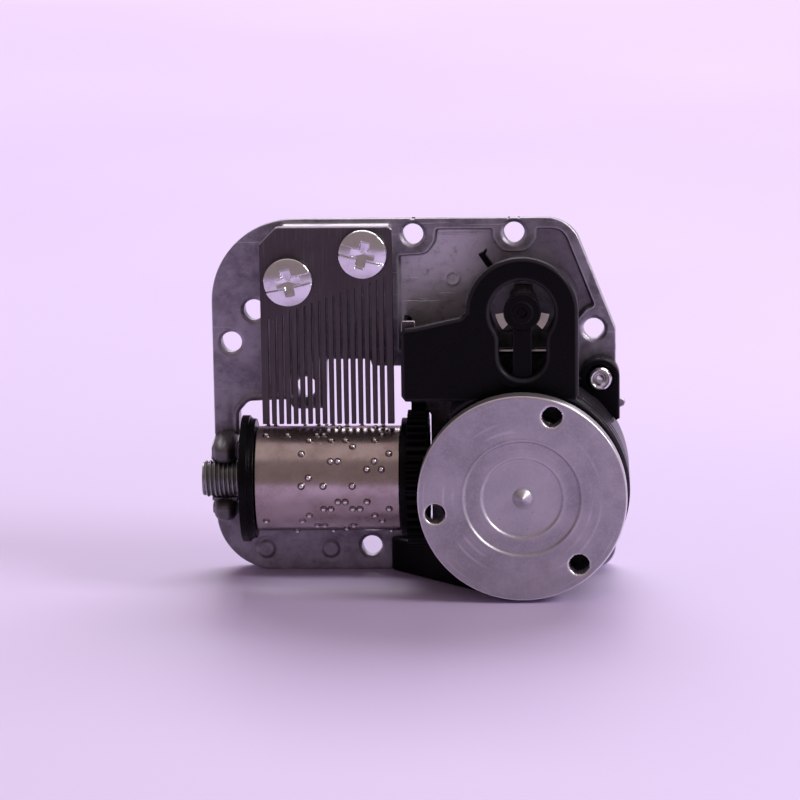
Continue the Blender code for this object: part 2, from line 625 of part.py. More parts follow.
def make_drum(mats, root):
    place = (DRUM_X, 0, AXIS_Z)
    front = TABLE_BACK_Y + 1.5 * MM
    open_y = CROWN_TIP_Y - 0.2 * MM
    finish_object("spring_drum", turned_mesh(
        [(TABLE_BACK_Y + GAP, 0), (TABLE_BACK_Y + GAP, 4.0 * MM),
         (front, 4.0 * MM), (front, DRUM_R - 0.3 * MM),
         (front + 0.3 * MM, DRUM_R), (open_y, DRUM_R), (open_y, DRUM_R - DRUM_WALL),
         (front + DRUM_WALL, DRUM_R - DRUM_WALL), (front + DRUM_WALL, 0)], "Y", 40),
        mats["steel"], place, root)
    finish_object("crown_gear", crown_mesh(), mats["plastic"], place, root)
    finish_object("mainspring", spring_mesh(), mats["spring"], place, root)
    table = finish_object("turntable", turned_mesh(
        [(TABLE_BACK_Y, 0), (TABLE_BACK_Y, TABLE_R - 0.2 * MM), (TABLE_BACK_Y - 0.2 * MM, TABLE_R),
         (TABLE_FRONT_Y + 0.3 * MM, TABLE_R), (TABLE_FRONT_Y, TABLE_R - 0.3 * MM),
         (TABLE_FRONT_Y, TABLE_R * 0.56), (TABLE_FRONT_Y + 0.25 * MM, TABLE_R * 0.55),
         (TABLE_FRONT_Y + 0.25 * MM, TABLE_R * 0.395), (TABLE_FRONT_Y + 0.5 * MM, TABLE_R * 0.385),
         (TABLE_FRONT_Y + 0.5 * MM, 1.2 * MM), (TABLE_FRONT_Y + 0.2 * MM, 0.75 * MM),
         (TABLE_FRONT_Y, 0)], "Y", 44), mats["alloy"], place, root)
    for k, angle in enumerate((70, 190, 310)):
        a = math.radians(angle)
        hole = finish_object("table_hole_%d" % k, turned_mesh(
            [(TABLE_FRONT_Y - 0.3 * MM, 0), (TABLE_FRONT_Y - 0.3 * MM, TABLE_HOLE_R + 0.5 * MM),
             (TABLE_FRONT_Y + 0.2 * MM, TABLE_HOLE_R), (TABLE_BACK_Y + 1 * MM, TABLE_HOLE_R),
             (TABLE_BACK_Y + 1 * MM, 0)], "Y", 20), None,
            (DRUM_X + TABLE_HOLE_PCR * math.cos(a), 0, AXIS_Z + TABLE_HOLE_PCR * math.sin(a)))
        cut(table, hole)


def make_winding(mats, root):
    """Arbor, ratchet, click, click spring and the key behind the plate."""
    place = (DRUM_X, 0, AXIS_Z)
    front = HOUSE_FRONT_Y + 1.6 * MM
    finish_object("winding_arbor", turned_mesh(
        [(front, 0), (front, ARBOR_R - 0.2 * MM), (front + 0.2 * MM, ARBOR_R), (PLATE_T + 2.4 * MM, ARBOR_R),
         (PLATE_T + 2.5 * MM, ARBOR_THREAD_R), (PLATE_T + 5.5 * MM, ARBOR_THREAD_R),
         (PLATE_T + 5.5 * MM, 0)], "Y", 20),
        mats["steel"], place, root)
    saw = []
    tooth = TAU / RATCHET_TEETH
    for k in range(RATCHET_TEETH):
        a = tooth * k
        for radius, part in ((RATCHET_R, 0), (RATCHET_R - 0.7 * MM, 0.12), (RATCHET_R - 0.35 * MM, 0.56)):
            saw.append((radius * math.cos(a + part * tooth), radius * math.sin(a + part * tooth)))
    make_gear("ratchet_wheel", saw, ARBOR_R + FIT / 2, (0.3 * MM, 1.3 * MM), "Y", mats["brass"],
              place, root)
    pivot = (DRUM_X + 6.9 * MM, 0, AXIS_Z + 1.0 * MM)
    pawl = [(-0.5 * MM, -0.4 * MM), (0.45 * MM, -0.45 * MM), (0.6 * MM, 0.5 * MM), (-0.2 * MM, 1.4 * MM),
            (-1.5 * MM, 1.9 * MM), (-1.75 * MM, 1.5 * MM), (-0.8 * MM, 0.8 * MM)]
    click = finish_object("click_pawl", plate_mesh(pawl, 0.4 * MM, 1.2 * MM), mats["steel"], pivot, root)
    hub_cut = finish_object("click_bore", plate_mesh(circle((0, 0), CLICK_BORE_R, 12), -1 * MM, 3 * MM),
                            None, pivot)
    cut(click, hub_cut)
    finish_object("click_pin", plate_mesh(circle((0, 0), CLICK_PIN_R, 10), 0.15 * MM, 1.6 * MM),
                  mats["steel"], pivot, root)
    strip = (arc((DRUM_X, AXIS_Z), 7.6 * MM, -62, -4, 10)
             + arc((DRUM_X, AXIS_Z), 7.4 * MM, -4, -62, 10))
    finish_object("click_spring", plate_mesh(strip, 0.5 * MM, 1.1 * MM), mats["spring"], parent=root)
    key_front = PLATE_T + 2.6 * MM
    hub_end = key_front + KEY_HUB_LEN
    key = finish_object("winding_key", turned_mesh(
        [(key_front, ARBOR_THREAD_R + FIT), (key_front, KEY_HUB_R), (hub_end, KEY_HUB_R),
         (hub_end, 0.9 * MM), (hub_end - 1.6 * MM, 0.9 * MM), (hub_end - 1.6 * MM, ARBOR_THREAD_R + FIT)],
        "Y", 24, closed=True), mats["nickel"], place, root)
    wing_y = key_front + 2.4 * MM
    wing_root = 1.7 * MM
    for side, name in ((1, "right"), (-1, "left")):
        centre = (side * (KEY_REACH - KEY_WING_R), wing_y + 2.6 * MM)
        start = 90 - 180 * (side > 0)
        outline = arc(centre, KEY_WING_R, start, start + 180, 10)
        base = [(side * wing_root, wing_y + 2.4 * MM), (side * wing_root, wing_y + 0.4 * MM)]
        outline += base if side > 0 else base[::-1]
        bm = bmesh.new()
        ends = [[bm.verts.new((u, v, z)) for u, v in outline]
                for z in (-KEY_WING_T / 2, KEY_WING_T / 2)]
        for loop in ends:
            bm.faces.new(loop)
        for k in range(len(outline)):
            n = (k + 1) % len(outline)
            bm.faces.new((ends[0][k], ends[0][n], ends[1][n], ends[1][k]))
        join(key, finish_object("key_wing_" + name, bm, None, place))


# ---------------------------------------------------------------- train and governor

def make_train(mats, root):
    """First shaft, worm-wheel shaft, governor with its fan, and the bracket that holds them."""
    first = (0, CYL_AXIS_Y, FIRST_Z)
    second = (0, CYL_AXIS_Y, SECOND_Z)
    bore = SHAFT_R + FIT / 2
    finish_object("first_shaft", turned_mesh(
        rod(ARM_LEFT_X + 0.3 * MM, WEB_X[1] + 0.3 * MM, SHAFT_R), "X", 12), mats["steel"], first, root)
    make_gear("first_pinion", tooth_outline(FIRST_PINION_TEETH, CYL_MODULE, 90 + 180 / FIRST_PINION_TEETH),
              bore, (CYL_GEAR_X[0] + 0.6 * MM, CYL_GEAR_X[1] - 0.2 * MM), "X", mats["plastic"], first, root)
    make_gear("first_gear", tooth_outline(FIRST_GEAR_TEETH, FIRST_MODULE, 90), bore, FIRST_PAIR_X, "X",
              mats["plastic"], first, root)
    finish_object("worm_wheel_shaft", turned_mesh(
        rod(FIRST_PAIR_X[0] - 0.5 * MM, FAR_WEB_X[1] + 0.2 * MM, SHAFT_R), "X", 12),
        mats["steel"], second, root)
    make_gear("worm_wheel_pinion", tooth_outline(WORM_PINION_TEETH, FIRST_MODULE,
                                                 90 + 180 / WORM_PINION_TEETH),
              bore, FIRST_PAIR_X, "X", mats["brass"], second, root)
    make_gear("worm_wheel", tooth_outline(WORM_WHEEL_TEETH, WORM_MODULE, 90), bore,
              (GOVERNOR_X - 0.5 * MM, GOVERNOR_X + 0.5 * MM), "X", mats["nylon"], second, root)

    governor = (GOVERNOR_X, CYL_AXIS_Y, GOVERNOR_Z)
    bm = bmesh.new()
    pitch = math.pi * WORM_MODULE
    around, half = 16, 1.75 * pitch
    along = int(round(2 * half / pitch * 8))
    back_end, front_end = 6.4 * MM, -6.4 * MM
    rows = []
    for j in range(along + 1):
        y = -half + 2 * half * j / along
        row = []
        for k in range(around):
            a = TAU * k / around
            phase = (WORM_STARTS * a / TAU + y / pitch) % 1.0
            high = min(1.0, max(0.0, (0.31 - abs(phase - 0.5)) / 0.19))
            r = WORM_R - 0.45 * MM + 0.75 * MM * high
            row.append(bm.verts.new((r * math.sin(a), y, r * math.cos(a))))
        rows.append(row)

    def neck(y):
        return [bm.verts.new((SHAFT_R * math.sin(TAU * k / around), y,
                              SHAFT_R * math.cos(TAU * k / around))) for k in range(around)]

    rows = [neck(front_end), neck(-half)] + rows + [neck(half), neck(back_end)]
    for row, after in zip(rows, rows[1:]):
        for k in range(around):
            n = (k + 1) % around
            bm.faces.new((row[k], row[n], after[n], after[k]))
    bm.faces.new(rows[0])
    bm.faces.new(rows[-1])
    finish_object("governor_worm", bm, mats["steel"], governor, root)

    fan_front, fan_back = HOUSE_FRONT_Y + 1.95 * MM - CYL_AXIS_Y, HOUSE_FRONT_Y + 2.8 * MM - CYL_AXIS_Y
    fan = finish_object("governor_fan", ring_mesh(
        circle((0, 0), FAN_HUB_R, 16), bore, fan_front, fan_back, "Y"), mats["plastic"], governor, root)
    blades = bmesh.new()
    for side in (1, -1):
        x0, x1 = 0.8 * MM, FAN_R * 0.97
        corners = [(x0, -0.35 * MM), (x1, -1.0 * MM), (FAN_R, 0.0), (x1, 0.8 * MM), (x0, 0.35 * MM)]
        ends = [[blades.verts.new((side * u, y, side * v)) for u, v in corners]
                for y in (fan_front + 0.05 * MM, fan_back - 0.05 * MM)]
        for loop in ends:
            blades.faces.new(loop)
        for k in range(len(corners)):
            n = (k + 1) % len(corners)
            blades.faces.new((ends[0][k], ends[0][n], ends[1][n], ends[1][k]))
    join(fan, finish_object("fan_blades", blades, None, governor))

    hub = circle((0, 0), BRIDGE_HUB_R, 28)
    bridge = finish_object("governor_bridge", ring_mesh(
        hub, bore + FIT, HOUSE_FRONT_Y + 0.35 * MM, HOUSE_FRONT_Y + 1.55 * MM, "Y"), mats["plastic"],
        (GOVERNOR_X, 0, GOVERNOR_Z), root)
    bar_low = GOVERNOR_Z - 9.4 * MM
    join(bridge, finish_object("bridge_bar", box_mesh(
        (GOVERNOR_X - 1.15 * MM, GOVERNOR_X + 1.15 * MM),
        (HOUSE_FRONT_Y + HOUSE_WALL + GAP, HOUSE_FRONT_Y + 1.5 * MM),
        (bar_low, GOVERNOR_Z - 1.6 * MM)), None))

    strip_y = (0.1 * MM, 1.05 * MM)
    bracket = finish_object("train_bracket", box_mesh(
        (WEB_X[0], FAR_WEB_X[1]), strip_y, (SECOND_Z - 1.0 * MM, SECOND_Z + 1.2 * MM)), mats["steel"],
        parent=root)
    adds = [finish_object("web_near", box_mesh(WEB_X, (CYL_AXIS_Y - 1.4 * MM, strip_y[1] - 0.1 * MM),
                                               (FIRST_Z - 1.0 * MM, SECOND_Z + 1.1 * MM)), None),
            finish_object("web_far", box_mesh(FAR_WEB_X, (CYL_AXIS_Y - 1.4 * MM, strip_y[1] - 0.1 * MM),
                                              (SECOND_Z - 1.1 * MM, SECOND_Z + 1.1 * MM)), None),
            finish_object("governor_foot", box_mesh((GOVERNOR_X - 1.2 * MM, GOVERNOR_X + 1.2 * MM),
                                                    (strip_y[0] + 0.05 * MM, strip_y[1] - 0.05 * MM),
                                                    (SECOND_Z, GOVERNOR_Z + 1.3 * MM)), None)]
    join(bracket, *adds)
    holes = [finish_object("web_bore_%d" % k, plate_mesh(
        circle((CYL_AXIS_Y, z), SHAFT_R + FIT, 12), WEB_X[0] - 1 * MM, FAR_WEB_X[1] + 1 * MM, "X"), None)
        for k, z in enumerate((FIRST_Z, SECOND_Z))]
    holes.append(finish_object("foot_bore", plate_mesh(circle(
        (GOVERNOR_X, GOVERNOR_Z), SHAFT_R + FIT, 12), -1 * MM, 3 * MM), None))
    cut(bracket, *holes)


def housing_outline(inset):
    """Arm, governor tower and spring skirt; inset moves every wall inwards."""
    bottom = FIRST_Z - 0.7 * MM + inset
    join_z = AXIS_Z + math.sqrt((SKIRT_R - inset) ** 2 - (TOWER_R - inset) ** 2)
    right_deg = math.degrees(math.atan2(join_z - AXIS_Z, TOWER_R - inset))
    low_deg = -math.degrees(math.acos((HOUSE_OPEN_X - DRUM_X) / (SKIRT_R - inset)))
    points = [(ARM_LEFT_X + inset, bottom + 0.6 * MM), (ARM_LEFT_X + inset + 0.7 * MM, bottom),
              (HOUSE_OPEN_X, bottom)]
    points += arc((DRUM_X, AXIS_Z), SKIRT_R - inset, low_deg, right_deg, 30)
    points += arc((GOVERNOR_X, GOVERNOR_Z), TOWER_R - inset, 0, 180, 20)
    points += [(0.7 * MM, GOVERNOR_Z - 1.75 * MM - inset),
               (ARM_LEFT_X + inset, GOVERNOR_Z - 1.9 * MM - inset)]
    return points


def make_housing(mats, root):
    """One moulded cover over the train, the governor and the drum, with its openings cut."""
    body = finish_object("gear_housing", plate_mesh(housing_outline(0), HOUSE_FRONT_Y, -GAP), mats["plastic"],
                         parent=root)
    inner_y = HOUSE_FRONT_Y + HOUSE_WALL
    keyhole = (arc((GOVERNOR_X, GOVERNOR_Z - 5.3 * MM), KEYHOLE_SLOT_R, 180, 360, 12)
               + arc((GOVERNOR_X, GOVERNOR_Z), KEYHOLE_R, -42.7, 222.7, 24))
    cuts = [finish_object("hollow", plate_mesh(housing_outline(HOUSE_WALL), inner_y, 2 * MM), None),
            finish_object("drum_opening", plate_mesh(circle((DRUM_X, AXIS_Z), DRUM_R + 0.5 * MM, 40),
                                                     HOUSE_FRONT_Y - 2 * MM, 2 * MM), None),
            finish_object("left_opening", box_mesh((HOUSE_OPEN_X - 3 * MM, HOUSE_OPEN_X + 2.4 * MM),
                                                   (HOUSE_FRONT_Y - 2 * MM, 2 * MM),
                                                   (AXIS_Z - 9.0 * MM, FIRST_Z - 2.2 * MM)), None),
            finish_object("keyhole", plate_mesh(keyhole, HOUSE_FRONT_Y - 2 * MM, inner_y + 1 * MM), None),
            finish_object("train_way", box_mesh(
                (ARM_LEFT_X + HOUSE_WALL, WEB_X[1] + 0.6 * MM), (inner_y, 2 * MM),
                (FIRST_Z - 4 * MM, FIRST_Z + 1 * MM)), None),
            finish_object("shaft_bore", plate_mesh(circle((CYL_AXIS_Y, FIRST_Z), SHAFT_R + FIT, 12),
                                                   ARM_LEFT_X - 1 * MM, ARM_LEFT_X + 2 * MM, "X"), None)]
    a = math.radians(LEVER_DEG)
    slot = finish_object("lever_slot", box_mesh((-0.9 * MM, 0.75 * MM), (-4.0 * MM, -2.4 * MM),
                                                (1.2 * MM, 3.6 * MM)), None, LEVER_PIVOT)
    slot.rotation_euler = (0, math.pi / 2 - a, 0)
    cuts.append(slot)
    cut(body, *cuts)


def make_flange(mats, root):
    """Black flange under the drum: it stays inside the skirt but for the ear at the right."""
    inner_r = CROWN_OUTER + FIT
    left = DRIVE_X + 0.95 * MM
    low = math.degrees(math.acos((left - DRUM_X) / inner_r))
    plate = finish_object("base_flange", plate_mesh(arc((DRUM_X, AXIS_Z), inner_r, -low, low, 36),
                                                    -FLANGE_T - GAP, -GAP), mats["plastic"], parent=root)
    bore = finish_object("flange_bore", plate_mesh(circle((DRUM_X, AXIS_Z), ARBOR_R + FIT, 24),
                                                   -3 * MM, 2 * MM), None)
    cut(plate, bore)


def make_ear(mats, root):
    """Ear plate of the spring case, outside the skirt, clamped by the rivet."""
    clear = SKIRT_R + GAP
    outline = ([(EAR[0] + EAR_R, EAR[1])] + arc(EAR, EAR_R, 15, 135, 8)
               + [(EAR[0] - 2.55 * MM, EAR[1] - 0.4 * MM)]
               + arc((DRUM_X, AXIS_Z), clear, 59.0, 25.5, 12))
    ear = finish_object("spring_case_ear", plate_mesh(outline, -EAR_T, -GAP), mats["plastic"], parent=root)
    cut(ear, finish_object("ear_bore", plate_mesh(circle(EAR, RIVET_R + FIT, 16), -5 * MM, 2 * MM), None))
    back = PLATE_T - 0.4 * MM
    finish_object("case_rivet", turned_mesh(
        [(-EAR_T - 0.8 * MM, 0), (-EAR_T - 0.75 * MM, 0.75 * MM), (-EAR_T - 1.15 * MM, 0.95 * MM),
         (-EAR_T - 1.1 * MM, RIVET_HEAD_R - 0.15 * MM), (-EAR_T - 0.7 * MM, RIVET_HEAD_R),
         (-EAR_T - GAP, RIVET_HEAD_R), (-EAR_T - GAP, RIVET_R), (back, RIVET_R), (back, 0)], "Y", 20),
        mats["nickel"], (EAR[0], 0, EAR[1]), root)


def make_lever(mats, root):
    """Stop lever: its tab leans out of the tower and its tail swings in to catch the fan."""
    a = math.radians(LEVER_DEG)
    out = (math.cos(a), math.sin(a))
    side = (-out[1], out[0])
    shape = [(-0.55, -0.35), (0.55, -0.35), (0.45, 0.6), (0.38, 3.3), (0.9, 3.6), (0.9, 3.75),
             (-0.38, 3.75), (-0.45, 0.6)]
    outline = [((side[0] * -u + out[0] * v) * MM, (side[1] * -u + out[1] * v) * MM) for u, v in shape]
    lever = finish_object("stop_lever", plate_mesh(outline, -3.6 * MM, -2.8 * MM), mats["plastic"],
                          LEVER_PIVOT, root)
    cut(lever, finish_object("lever_bore", plate_mesh(circle((0, 0), 0.2 * MM, 10), -5 * MM, 0), None,
                             LEVER_PIVOT))
    finish_object("lever_pin", plate_mesh(circle((0, 0), 0.14 * MM, 8), -3.9 * MM, -2.4 * MM),
                  mats["steel"], LEVER_PIVOT, root)


def build():
    clear_scene()
    mats = {
        "cast": material("cast_zinc", (0.33, 0.32, 0.34), 0.42, 0.85),
        "comb": material("comb_steel", (0.16, 0.14, 0.14), 0.34, 0.9),
        "nickel": material("bright_nickel", (0.80, 0.80, 0.83), 0.18, 1.0),
        "sleeve": material("nickel_sleeve", (0.55, 0.50, 0.48), 0.25, 1.0),
        "plastic": material("black_plastic", (0.012, 0.012, 0.014), 0.32, 0.0),
        "alloy": material("turned_alloy", (0.50, 0.49, 0.52), 0.36, 0.9),
        "steel": material("shaft_steel", (0.45, 0.45, 0.47), 0.3, 1.0),
        "spring": material("spring_steel", (0.25, 0.26, 0.30), 0.35, 1.0),
        "brass": material("gear_brass", (0.70, 0.52, 0.25), 0.32, 1.0),
        "nylon": material("nylon", (0.75, 0.74, 0.70), 0.5, 0.0),
    }
    root = bpy.data.objects.new("movement", None)
    bpy.context.collection.objects.link(root)
    root.location = (SHIFT_X, SHIFT_Y, 0)
    make_plate(mats["cast"], root)
    make_comb(mats["comb"], root)
    for name, place, turn in zip(("comb_screw_left", "comb_screw_right"), COMB_SCREWS, (15, -15)):
        make_comb_screw(name, place, turn, mats["nickel"], root)
    make_cylinder(mats, root)
    make_bush(mats["steel"], root)
    make_drum(mats, root)
    make_winding(mats, root)
    make_train(mats, root)
    make_housing(mats, root)
    make_flange(mats, root)
    make_ear(mats, root)
    make_lever(mats, root)


build()
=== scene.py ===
"""Looks of an eighteen-note wind-up music movement with a turntable.

Sizes are millimetres in the movement's own frame: x along the cylinder from the middle of the
plate, y from the plate's front face (works at -y, key at +y) and z up. piece() moves them to
the shared frame and turns them into metres.
"""

import json
import math
import random

import bmesh
import bpy
import numpy as np
from mathutils import Matrix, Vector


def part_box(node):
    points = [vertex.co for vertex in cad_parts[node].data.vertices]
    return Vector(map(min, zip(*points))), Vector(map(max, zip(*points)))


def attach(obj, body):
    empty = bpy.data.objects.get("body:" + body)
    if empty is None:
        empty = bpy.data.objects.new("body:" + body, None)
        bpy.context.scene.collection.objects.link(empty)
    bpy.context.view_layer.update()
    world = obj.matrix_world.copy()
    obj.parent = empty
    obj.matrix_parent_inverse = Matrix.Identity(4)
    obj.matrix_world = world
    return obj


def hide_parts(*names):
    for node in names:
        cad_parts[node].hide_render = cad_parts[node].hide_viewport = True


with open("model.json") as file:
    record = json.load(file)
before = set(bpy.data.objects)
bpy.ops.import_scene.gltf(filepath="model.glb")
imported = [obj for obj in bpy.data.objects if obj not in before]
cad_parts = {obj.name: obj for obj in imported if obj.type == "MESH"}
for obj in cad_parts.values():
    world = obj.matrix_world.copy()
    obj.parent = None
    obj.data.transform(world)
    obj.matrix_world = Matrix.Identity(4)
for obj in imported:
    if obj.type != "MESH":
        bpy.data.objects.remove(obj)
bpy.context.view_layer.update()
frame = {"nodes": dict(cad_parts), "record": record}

MM = 0.001
TAU = 2 * math.pi


def box_mm(node):
    """Lowest and highest corner of a CAD node, in millimetres of the shared frame."""
    low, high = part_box(node)
    return np.array(low) / MM, np.array(high) / MM


PLATE_W, PLATE_T = 50.5, 3.2
plate_low, plate_high = box_mm("base_plate")
ORIGIN = np.array([plate_low[0] + PLATE_W / 2, plate_high[1] - PLATE_T, 0.0])


def middle(node):
    """Middle of a CAD node's box in the movement's frame."""
    low, high = box_mm(node)
    return (low + high) / 2 - ORIGIN


def extent(node):
    """Lowest and highest corner of a CAD node in the movement's frame."""
    low, high = box_mm(node)
    return low - ORIGIN, high - ORIGIN


LEFT, RIGHT, TOP = -PLATE_W / 2, PLATE_W / 2, plate_high[2]
DRUM = middle("turntable")[[0, 2]]
GOVERNOR = TOWER_X, TOWER_Z = middle("governor_worm")[[0, 2]]
AXLE_Y, AXLE_Z = middle("bearing_bush")[1:]
AXLE = (0, AXLE_Y, AXLE_Z)
CAP_LOW, CAP_HIGH = extent("cylinder_end_cap")
GEAR_LOW, GEAR_HIGH = extent("cylinder_gear")
SLEEVE_LOW, SLEEVE_HIGH = extent("cylinder")
COMB_LOW, COMB_HIGH = extent("comb")
EAR = middle("case_rivet")[[0, 2]]
HOUSE_LOW, HOUSE_HIGH = extent("gear_housing")
SKIRT_R = HOUSE_HIGH[0] - DRUM[0]
TOWER_R = 6.85
ARM_LEFT, HOUSE_FRONT = HOUSE_LOW[:2]
FIRST_Z = middle("first_pinion")[2]


# ------------------------------------------------------------------ flat shapes and distances

def smooth(t):
    """Smooth step of t between 0 and 1: 3t^2 - 2t^3."""
    t = np.clip(t, 0.0, 1.0)
    return t * t * (3 - 2 * t)


def ramp(d, width):
    """0 outside a shape, 1 further than width inside it; d is the signed distance."""
    return smooth(-d / width)


def ridge(d, width):
    """Bell curve over a line: exp of -(d / width) squared."""
    return np.exp(-(d / width) ** 2)


def level(w):
    """A slab's face that is flat at w."""
    return lambda u, v: np.full(np.shape(u), w)


def circle(centre, radius):
    """The signed distance to a circle, as a line of a slab."""
    return lambda u, v: disc(u, v, centre, radius)


def further(line, by):
    """A line of a slab with a distance added."""
    return lambda u, v: line(u, v) + by


def around(low, high, spare):
    """Sides of a slab's grid: a box's x and z, and spare more all round."""
    return (low[0] - spare, high[0] + spare), (low[2] - spare, high[2] + spare)


def about(centre, radius, spare):
    """Sides of a slab's grid: a circle's width and height, and spare more all round."""
    return tuple((c - radius - spare, c + radius + spare) for c in centre)


def disc(u, v, centre, radius):
    """Signed distance to a circle: distance to its centre less its radius."""
    return np.hypot(u - centre[0], v - centre[1]) - radius


def bar(u, v, low, high, radius=0.0):
    """Signed distance to an upright rectangle with round corners."""
    a = np.abs(u - (low[0] + high[0]) / 2) - (high[0] - low[0]) / 2 + radius
    b = np.abs(v - (low[1] + high[1]) / 2) - (high[1] - low[1]) / 2 + radius
    outside = np.hypot(np.maximum(a, 0), np.maximum(b, 0))
    return outside + np.minimum(np.maximum(a, b), 0) - radius


def capsule(u, v, start, end, radius):
    """Signed distance to a thick straight line with round ends."""
    run = np.array(end, float) - np.array(start, float)
    t = ((u - start[0]) * run[0] + (v - start[1]) * run[1]) / (run @ run)
    t = np.clip(t, 0, 1)
    return np.hypot(u - start[0] - t * run[0], v - start[1] - t * run[1]) - radius


def blended(one, other, width):
    """Union of two shapes with a fillet: their mix by t, less width * t * (1 - t)."""
    t = np.clip(0.5 + 0.5 * (one - other) / width, 0, 1)
    return one * (1 - t) + other * t - width * t * (1 - t)


def polygon(u, v, points):
    """Signed distance to a closed outline: nearest edge, negative where the crossings are odd."""
    near = np.full(np.shape(u), 1e9)
    inside = np.zeros(np.shape(u), bool)
    for a, b in zip(points, np.roll(points, -1, axis=0)):
        run = b - a
        t = np.clip(((u - a[0]) * run[0] + (v - a[1]) * run[1]) / (run @ run + 1e-12), 0, 1)
        near = np.minimum(near, np.hypot(u - a[0] - t * run[0], v - a[1] - t * run[1]))
        crosses = (a[1] > v) != (b[1] > v)
        inside ^= crosses & (u < a[0] + (v - a[1]) / (run[1] or 1.0) * run[0])
    return np.where(inside, -near, near)


def rounded(points, radius, steps=5, loop=False):
    """Line of (a, b) or (a, b, radius) points with each corner turned into an arc of that radius.

    An arc runs between the two points where a circle of the radius touches the corner's sides:
    centre + (sin((1-t)w) p + sin(tw) q) / sin(w), with w the angle turned. Two more points just
    beyond it keep the shading of the straight parts flat.
    """
    spots = [np.array(p[:2], float) for p in points]
    out = []
    for k, spot in enumerate(spots):
        size = points[k][2] if len(points[k]) > 2 else radius
        if size == 0 or (not loop and k in (0, len(spots) - 1)):
            out.append(spot[None])
            continue
        before = spots[k - 1] - spot
        after = spots[(k + 1) % len(spots)] - spot
        len_b, len_a = np.hypot(*before), np.hypot(*after)
        before, after = before / len_b, after / len_a
        half = math.acos(np.clip(before @ after, -1, 1)) / 2
        if half > math.pi / 2 - 0.03:
            out.append(spot[None])
            continue
        reach = min(size / math.tan(half), 0.42 * len_b, 0.42 * len_a)
        size = reach * math.tan(half)
        mid = before + after
        centre = spot + mid / np.hypot(*mid) * size / math.sin(half)
        turned_by = math.pi - 2 * half
        t = np.linspace(0, 1, steps + 1)[:, None]
        p, q = spot + before * reach - centre, spot + after * reach - centre
        arc = centre + (np.sin((1 - t) * turned_by) * p + np.sin(t * turned_by) * q) / math.sin(turned_by)
        spare_b, spare_a = min(0.05, 0.05 * len_b), min(0.05, 0.05 * len_a)
        out += [arc[:1] + before * spare_b, arc, arc[-1:] + after * spare_a]
    return np.concatenate(out)


# ------------------------------------------------------------------ surfaces

def cells_of(index):
    """The four corners of each cell of a grid of numbers."""
    return np.stack([index[:-1, :-1], index[1:, :-1], index[1:, 1:], index[:-1, 1:]], -1)


def net(grid, wrap_u=False, wrap_v=False):
    """Points and quads of a surface given as a grid of points, joined round where it wraps."""
    index = np.arange(grid.shape[0] * grid.shape[1]).reshape(grid.shape[:2])
    if wrap_u:
        index = np.concatenate([index, index[:1]], 0)
    if wrap_v:
        index = np.concatenate([index, index[:, :1]], 1)
    return grid.reshape(-1, 3), cells_of(index).reshape(-1, 4)


def turned(profile, centre=(0, 0, 0), axis="Y", steps=96, loop=False, radius_at=None):
    """Surface turned from a profile: along the axis by a, out by r (cos t, sin t).

    radius_at(a, r, t) may change the radius with the angle, as for teeth and threads.
    """
    profile = np.asarray(profile, float)
    t = np.linspace(0, TAU, steps, endpoint=False)[:, None]
    along = np.broadcast_to(profile[:, 0], (steps, len(profile)))
    radius = np.broadcast_to(profile[:, 1], along.shape)
    if radius_at is not None:
        radius = radius_at(along, radius, t)
    c, s = radius * np.cos(t), radius * np.sin(t)
    order = {"X": (along, c, s), "Y": (c, along, s)}[axis]
    return net(np.stack(order, -1) + np.array(centre, float), True, loop)


def lathe(points, corner, arcs, centre, axis, steps, radius_at=None):
    """A closed profile with round corners, turned into a ring or a tube."""
    return turned(rounded(points, corner, arcs, loop=True), centre, axis, steps, True, radius_at)


def uphill(line, u, v, small):
    """Direction in which line(u, v) grows fastest, of length 1."""
    gu = (line(u + small, v) - line(u - small, v)) / (2 * small)
    gv = (line(u, v + small) - line(u, v - small)) / (2 * small)
    size = np.hypot(gu, gv) + 1e-9
    return gu / size, gv / size


def open_edges(*cells):
    """Starts and ends of the edges that only one cell has."""
    starts = np.concatenate([some.ravel() for some in cells])
    ends = np.concatenate([np.roll(some, -1, 1).ravel() for some in cells])
    total = starts.max() + 1
    alone = ~np.isin(starts * total + ends, ends * total + starts)
    return starts[alone], ends[alone]


def pull(line, u, v, step):
    """Move the grid's nodes that lie nearest to line(u, v) = 0 onto it, along its gradient."""
    gu, gv = uphill(line, u, v, step * 0.05)
    near = np.abs(line(u, v)) <= 0.5 * step * np.maximum(np.abs(gu), np.abs(gv)) + 1e-9
    for _ in range(2):
        d = np.where(near, line(u, v), 0.0)
        u, v = u - d * gu, v - d * gv
    return u, v


def slab(shape, span, step, front, back, edge=0.2, lines=(), wall=(), arcs=3, wear=None,
         place=None):
    """Closed flat piece on a grid of (u, v), with a front and a back face and a round edge.

    shape is a signed distance. Nodes next to the outline, brought in by edge, or next to a line
    of the relief are moved onto it. The faces are w = front(u, v) and w = back(u, v). Along the
    outline a strip leaves each face by edge (sin t) outwards and edge (1 - cos t) inwards, and
    joins the two faces; wall gives more (out, depth) points of the strip between them.
    Returns points, faces and each point's wear from 0 to 1, which on some pieces is painted highlight and
    shade.
    """
    (u0, u1), (v0, v1) = span
    u, v = np.meshgrid(np.linspace(u0, u1, int(math.ceil((u1 - u0) / step)) + 1),
                       np.linspace(v0, v1, int(math.ceil((v1 - v0) / step)) + 1), indexing="ij")

    def inset(a, b):
        return shape(a, b) + edge

    for line in (*lines, inset):
        u, v = pull(line, u, v, step)
    return patch(u, v, shape, inset, front, back, edge, wall, arcs, wear, place, step)


